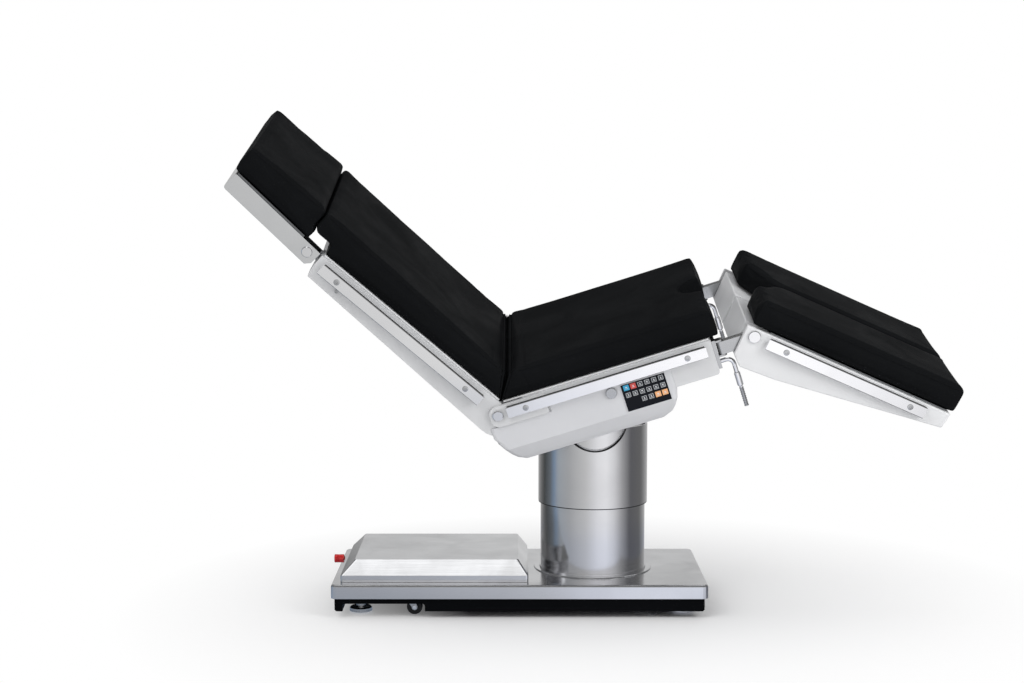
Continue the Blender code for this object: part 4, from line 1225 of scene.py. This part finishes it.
@dataclass
class Column:
    """The column's round tubes, the wiper under the sleeve and the rimmed round relief."""

    sections: dict[str, Section]
    sleeve: float = 0.142
    wall: float = 0.003
    bottom: float = 0.264
    top: float = 0.470
    flare: float = 0.0025
    flare_height: float = 0.007
    ring_depth: float = 0.0022
    ring_wall: float = 0.0050
    relief: float = 0.083
    relief_height: float = 0.4945
    relief_top: float = 0.4685
    liner: float = 0.1388
    liner_wall: float = 0.002
    liner_low: float = 0.405
    inner_relief: float = 0.0788
    lap: float = 0.0004
    gasket: float = 0.0016
    bead: float = 0.0014
    play: float = 0.0008
    sides: int = 144

    def build(self) -> None:
        """Builds the tubes, then the wiper, the liner and the rims."""
        base, lift = self.sections["base"], self.sections["lift"]
        self.fixed_tube(base)
        low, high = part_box("column_stage")
        radius, top = (high.x - low.x) / 2, high.z - self.play
        stage = Workpiece.ring("Stage_tube", radius, self.wall, low.z, top, self.sides)
        stage.bevel(0.0004, 1).finish(base, Finishes.TUBE, "column_stage", body="stage")
        self.outer_sleeve(lift)
        low, top = self.bottom - self.ring_depth, self.bottom + self.lap
        ring = Workpiece.ring("Sleeve_wiper", self.sleeve - self.lap, self.ring_wall, low, top, 96)
        ring.bevel(0.0006, 2).finish(lift, Finishes.RUBBER)
        low, top = self.liner_low, self.relief_top - 0.001
        liner = Workpiece.ring("Relief_liner", self.liner, self.liner_wall, low, top, self.sides)
        liner.bevel(0.0004, 1).finish(lift, Finishes.TUBE)
        for name, sign in SIDES.items():
            edge = self.rim(self.relief, self.sleeve, sign)
            gasket = tube(f"Relief_gasket_{name}", edge, self.gasket, False, 10)
            Workpiece(gasket).finish(lift, Finishes.RUBBER)
            edge = self.rim(self.inner_relief, self.liner, sign)
            bead = tube(f"Relief_rim_{name}", edge, self.bead, False, 10)
            Workpiece(bead).finish(lift, Finishes.BRIGHT)

    def fixed_tube(self, section: Section) -> None:
        """Builds the fixed tube with its flared foot."""
        low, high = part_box("lower_column")
        radius = (high.x - low.x) / 2 - self.flare
        piece = Workpiece.ring("Fixed_tube", radius, self.wall, low.z, high.z, self.sides)
        piece.cut_level(low.z + self.flare_height)
        skirt = low.z + self.flare_height - 0.001

        def foot(face: Face) -> bool:
            """Tells whether a face is on the outside of the foot."""
            middle = face.calc_center_median()
            outside = math.hypot(middle.x, middle.y) > radius - 0.001
            return outside and middle.z < skirt and abs(face.normal.z) < 0.5

        piece.pick(foot)
        bpy.ops.mesh.extrude_region_shrink_fatten(TRANSFORM_OT_shrink_fatten={"value": self.flare})
        piece.close()
        piece.bevel(0.0006, 2).finish(section, Finishes.TUBE, "lower_column")

    def outer_sleeve(self, section: Section) -> None:
        """Builds the lifting sleeve with the round relief cut through both sides."""
        piece = Workpiece.ring("Outer_sleeve", self.sleeve, self.wall, self.bottom, self.top, self.sides)
        piece.bevel(0.0006, 2)
        middle = (0, 0, self.relief_height)
        cutter = Workpiece.round("Relief_cutter", self.relief, -0.2, 0.2, middle, Axis.Y, 72)
        piece.cut(cutter).finish(section, Finishes.TUBE, "column_sleeve")

    def rim(self, relief: float, tube_radius: float, sign: int) -> list[Vector]:
        """Returns the edge of the relief on a tube's face.

        Args:
            relief: The relief's radius there.
            tube_radius: The tube's radius.
            sign: The side of the table.

        Returns:
            Its points, from the head end to the foot end.
        """
        limit = math.acos((self.relief_height - self.relief_top) / relief)
        path = []
        for step in range(49):
            turn = limit * (step / 24 - 1)
            x, z = relief * math.sin(turn), self.relief_height - relief * math.cos(turn)
            path.append(Vector((x, sign * math.sqrt(tube_radius**2 - x * x), z)))
        return path


@dataclass
class LeverGrips:
    """The collar and the ribbed grip of each clamp lever."""

    section: Section
    x: float = 0.3095
    y: float = 0.227
    collar: float = 0.0078
    collar_levels: tuple[float, float] = (-0.0880, -0.0560)
    grip: float = 0.0056
    grip_levels: tuple[float, float] = (-0.1462, -0.0930)
    ribs: int = 9

    def build(self) -> None:
        """Builds both levers' pieces."""
        for name, sign in SIDES.items():
            centre = (self.x, sign * self.y, 0.0)
            levels = self.collar_levels
            collar = Workpiece.round(f"Lever_collar_{name}", self.collar, *levels, centre, Axis.Z, 28)
            for end in (-1, 1):
                collar.extrude(facing("Z", end), (0.0, 0.0, end * 0.0030))
                collar.shrink(facing("Z", end), 0.74)
            collar.bevel(0.0005, 2).finish(self.section, Finishes.BRIGHT, body=f"lever_{name}")
            grip = self.ribbed(f"Lever_grip_{name}", centre)
            grip.finish(self.section, Finishes.MACHINED, body=f"lever_{name}")

    def ribbed(self, name: str, centre: Point) -> Workpiece:
        """Returns a grip with fine ribs round it, drawn rib by rib from its lower end."""
        low, high = self.grip_levels
        step = (high - low) / (2 * self.ribs)
        piece = Workpiece.round(name, self.grip, low, low + step, centre, Axis.Z, 24)
        top = facing("Z", 1)
        for rib in range(self.ribs - 1):
            piece.extrude(top, (0.0, 0.0, step * 0.4)).shrink(top, 0.84)
            piece.extrude(top, (0.0, 0.0, step * 0.6))
            piece.extrude(top, (0.0, 0.0, step * 0.3)).shrink(top, 1 / 0.84)
            piece.extrude(top, (0.0, 0.0, step * 0.7))
        return piece.bevel(0.0003, 1)


@dataclass
class BaseTrim:
    """Machined rims of the jacks, axle caps of the castors and the red stop knob."""

    section: Section
    jack: float = 0.0289
    jack_wall: float = 0.0030
    jack_levels: tuple[float, float] = (0.0056, 0.0092)
    axle: float = 0.0048
    knob: tuple[float, float] = (0.0, 0.1075)
    knob_end: float = -0.6765
    knob_radius: float = 0.0108
    knob_stem: float = 0.0038
    knob_stem_end: float = 0.030
    knob_steps: tuple[tuple[float, float], ...] = (
        (0.0010, 0.80), (0.0040, 0.70), (0.0030, 1.0), (0.0070, 1.58), (0.0030, 1.12), (0.0015, 1.0)
    )

    def build(self) -> None:
        """Builds every trim of the base."""
        low, high = self.jack_levels
        rim = Workpiece.ring("Jack_rim", self.jack, self.jack_wall, low, high, 48).bevel(0.0006, 2)
        cap = Workpiece.round("Axle_cap", self.axle, -0.0009, 0.0009, (0.0, 0.0, 0.0), Axis.Y, 18)
        cap.inset(facing("Y", -1), 0.0012, 0.0004).inset(facing("Y", 1), 0.0012, 0.0004).bevel(0.0003, 1)
        world = Section("base", Matrix.Identity(4))
        for end in ("head", "foot"):
            for side in SIDES:
                corner = f"{end}_{side}"
                x, y, _ = self.middle(f"jack_foot_{corner}")
                copy = rim.copy(f"Jack_rim_{corner}", (x, y, 0.0))
                copy.finish(world, Finishes.MACHINED, body=f"jack_{corner}")
                x, y, z = self.middle(f"castor_wheel_{corner}")
                for number, reach in enumerate((-1, 1), 1):
                    copy = cap.copy(f"Axle_cap_{corner}_{number}", (x, y + reach * 0.0153, z))
                    copy.finish(world, Finishes.BRIGHT, body=f"fork_{corner}")
        rim.discard()
        cap.discard()
        self.stop_knob()

    def stop_knob(self) -> None:
        """Builds the red stop knob: a disc, a neck that widens to a skirt, and the stem."""
        (y, z), end = self.knob, self.knob_end
        piece = Workpiece.round("Stop_knob", self.knob_radius, end, end + 0.005, (0.0, y, z), Axis.X, 32)
        inner = facing("X", 1)
        for length, factor in self.knob_steps:
            piece.extrude(inner, (length, 0.0, 0.0)).shrink(inner, factor)
        piece.inset(inner, self.knob_radius - self.knob_stem)
        piece.extrude(end_face("X", 1, 32), (self.knob_stem_end, 0.0, 0.0))
        piece.inset(facing("X", -1), 0.0016, 0.0006).bevel(0.0006, 3)
        knob = piece.finish(self.section, Finishes.RED, "emergency_knob", body="knob")
        knob.visible_glossy = False

    @staticmethod
    def middle(node: str) -> Vector:
        """Returns the middle of a CAD node's box."""
        low, high = (Vector(corner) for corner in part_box(node))
        return (low + high) / 2


# Studio and main


@dataclass
class Studio:
    """Plain floor, soft lamps, the walls that the metal mirrors and the camera of the photograph."""

    camera_at: Point = (-0.226, -4.610, 1.103)
    pitch: float = 5.19
    focal: float = 63.28
    room: float = 0.52
    zenith: float = 1.45
    zenith_band: tuple[float, float] = (0.866, 0.884)
    upper: float = 0.20
    upper_band: tuple[float, float] = (0.22, 0.36)
    near_floor: Colour = (0.84, 0.87, 0.95)
    walls: tuple[tuple[float, Colour], ...] = (
        (0.00, (0.24, 0.33, 0.46)),
        (0.03, (0.42, 0.46, 0.50)),
        (0.10, (0.48, 0.49, 0.50)),
        (0.20, (0.70, 0.70, 0.70)),
        (0.25, (0.90, 0.90, 0.92)),
        (0.27, (1.00, 1.00, 1.02)),
        (0.32, (1.08, 1.08, 1.10)),
        (0.37, (0.85, 0.85, 0.87)),
        (0.42, (0.45, 0.45, 0.46)),
        (0.48, (0.14, 0.14, 0.15)),
        (0.58, (0.17, 0.17, 0.17)),
        (0.65, (0.42, 0.42, 0.42)),
        (0.75, (0.70, 0.70, 0.70)),
        (0.85, (0.24, 0.24, 0.24)),
        (0.91, (0.07, 0.075, 0.075)),
        (0.97, (0.16, 0.18, 0.20)),
        (1.00, (0.24, 0.33, 0.46)),
    )

    def build(self) -> None:
        """Sets the stage."""
        self.camera()
        self.floor()
        self.world()
        self.lamp("Key lamp", (-2.6, -3.4, 4.2), (0.0, 0.0, 0.6), 3.2, 88.0)
        self.lamp("Fill lamp", (3.2, -2.9, 2.4), (0.2, 0.0, 0.6), 2.6, 96.0)
        self.lamp("Top lamp", (0.0, 0.6, 4.5), (0.0, 0.0, 0.5), 3.5, 30.0)

    def camera(self) -> None:
        """Places the camera."""
        data = bpy.data.cameras.new("Camera")
        data.lens = self.focal
        data.sensor_width = 36.0
        camera = bpy.data.objects.new("Camera", data)
        camera.location = self.camera_at
        camera.rotation_euler = (math.radians(90.0 - self.pitch), 0.0, 0.0)
        bpy.context.scene.collection.objects.link(camera)
        bpy.context.scene.camera = camera

    def mirrored(self, graph: Graph, direction: Socket) -> Socket:
        """Returns the room as polished metal mirrors it, by compass direction and height.

        Args:
            graph: The tree to build in.
            direction: The direction that is looked in.

        Returns:
            The room's colour.
        """
        split = graph.add("ShaderNodeSeparateXYZ", {0: direction})
        angle = graph.math("ARCTAN2", split.outputs["Y"], split.outputs["X"])
        ramp = graph.add("ShaderNodeValToRGB", {0: graph.spread(angle, -math.pi, math.pi, 0.0, 1.0)})
        elements = ramp.color_ramp.elements
        while len(elements) < len(self.walls):
            elements.new(0.5)
        for element, (place, value) in zip(elements, self.walls):
            element.position = place
            element.color = (*value, 1.0)
        length = graph.add("ShaderNodeVectorMath", {0: direction}, operation="LENGTH").outputs["Value"]
        height = graph.math("DIVIDE", split.outputs["Z"], length)
        colour = ramp.outputs["Color"]
        for value, (low, high) in ((self.upper, self.upper_band), (self.zenith, self.zenith_band)):
            colour = graph.mix(graph.spread(height, low, high, 0.0, 1.0), colour, (value, value, value, 1.0))
        return colour

    def floor(self) -> None:
        """Lays a pale floor that fades to white, and to the mirrored walls, away from the table."""
        Workpiece.clear()
        bpy.ops.mesh.primitive_plane_add(size=60.0)
        floor = bpy.context.object
        floor.name = "Floor"
        material = bpy.data.materials.new("Pale floor")
        material.use_nodes = True
        graph = Graph(material.node_tree)
        shader = material.node_tree.nodes["Principled BSDF"]
        shader.inputs["Base Color"].default_value = (0.94, 0.94, 0.94, 1.0)
        shader.inputs["Roughness"].default_value = 0.9
        shader.inputs["Specular IOR Level"].default_value = 0.1
        place = graph.add("ShaderNodeTexCoord").outputs["Object"]
        far = graph.add("ShaderNodeVectorMath", {0: place}, operation="LENGTH").outputs["Value"]
        path = graph.add("ShaderNodeLightPath")
        white = graph.add("ShaderNodeEmission", {"Color": (1, 1, 1, 1), "Strength": 1.0}).outputs[0]
        share = graph.math("MULTIPLY", graph.spread(far, 0.35, 1.25, 0.0, 1.0), path.outputs["Is Camera Ray"])
        seen = graph.add("ShaderNodeMixShader", {0: share, 1: shader.outputs[0], 2: white}).outputs[0]
        room = self.mirrored(graph, place)
        walls = graph.add("ShaderNodeEmission", {"Color": room, "Strength": 1.0}).outputs[0]
        dimmed = graph.scaled(room, self.near_floor)
        near = graph.add("ShaderNodeEmission", {"Color": dimmed, "Strength": 1.0}).outputs[0]
        share = graph.spread(far, 0.95, 1.30, 0.0, 1.0)
        mirror = graph.add("ShaderNodeMixShader", {0: share, 1: near, 2: walls}).outputs[0]
        mixed = graph.add("ShaderNodeMixShader", {0: path.outputs["Is Glossy Ray"], 1: seen, 2: mirror})
        out = material.node_tree.nodes["Material Output"]
        material.node_tree.links.new(mixed.outputs[0], out.inputs["Surface"])
        floor.data.materials.append(material)

    def world(self) -> None:
        """Lights the room evenly, with walls of light and dark for the metal to mirror."""
        world = bpy.data.worlds.new("Studio")
        world.use_nodes = True
        bpy.context.scene.world = world
        graph = Graph(world.node_tree)
        background = world.node_tree.nodes["Background"]
        look = graph.add("ShaderNodeTexCoord").outputs["Generated"]
        path = graph.add("ShaderNodeLightPath")
        even = (self.room, self.room, self.room * 1.01, 1.0)
        walls = graph.mix(path.outputs["Is Glossy Ray"], even, self.mirrored(graph, look))
        seen = graph.mix(path.outputs["Is Camera Ray"], walls, (1.0, 1.0, 1.0, 1.0))
        world.node_tree.links.new(seen, background.inputs["Color"])

    def lamp(self, name: str, place: Point, target: Point, size: float, power: float) -> None:
        """Hangs a soft area lamp that looks at a target."""
        data = bpy.data.lights.new(name, "AREA")
        data.size = size
        data.energy = power
        lamp = bpy.data.objects.new(name, data)
        lamp.location = place
        lamp.visible_glossy = False
        lamp.rotation_euler = (Vector(target) - Vector(place)).to_track_quat("-Z", "Y").to_euler()
        bpy.context.scene.collection.objects.link(lamp)


def dress_nodes() -> None:
    """Gives every CAD node that stays its finish."""
    both = [f"_{side}" for side in SIDES]
    corners = [f"_{end}{side}" for end in ("head", "foot") for side in both]
    Finishes.SHEET.dress("base_deck", "drive_hood", "column_ring")
    Finishes.TUBE.dress("lower_column", "column_stage", "column_sleeve")
    Finishes.CASTING.dress("base_chassis")
    Finishes.MACHINED.dress("column_head", "tilt_yoke")
    Finishes.PAINT.dress("seat_beam_head", "seat_beam_foot")
    Finishes.MOULDING.dress("seat_housing")
    Finishes.FOIL.dress("keypad_panel")
    Finishes.PAINT.dress("back_frame")
    Finishes.BAND.dress("head_frame")
    Finishes.SHELL.dress("seat_board", "back_board")
    Finishes.BOARD_WITH_PAINTED_SHADE.dress("head_board")
    for side in both:
        Finishes.PAINT.dress("seat_side" + side)
        Finishes.SHELL.dress("leg_frame" + side)
        Finishes.BOARD_WITH_PAINTED_SHADE.dress("leg_board" + side)
        Finishes.RAIL.dress("seat_rail" + side, "back_rail" + side, "leg_rail" + side)
        Finishes.MACHINED.dress("knee_block" + side, "knee_arm" + side)
        Finishes.BRIGHT.dress("hip_pin" + side, "neck_pin" + side, "knee_pin" + side, "clamp_lever" + side)
    for corner in corners:
        Finishes.MACHINED.dress("castor_fork" + corner, "jack_foot" + corner)
        Finishes.TREAD.dress("castor_wheel" + corner)


def main() -> None:
    """Builds the scene in order."""
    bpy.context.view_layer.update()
    bpy.context.scene.view_settings.view_transform = "Standard"
    sections = table_sections()
    Studio().build()
    dress_nodes()
    TopPads(sections).build()
    for name in SIDES:
        LegPad(sections[f"leg_{name}"], name).build()
    Keypad(sections["seat"]).build()
    RailScrews(sections).build()
    RailShadeStrips(sections).build()
    LowerScrews(sections["back"]).build()
    Column(sections).build()
    LeverGrips(sections["seat"]).build()
    BaseTrim(sections["base"]).build()


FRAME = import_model()

if __name__ == "__main__":
    main()
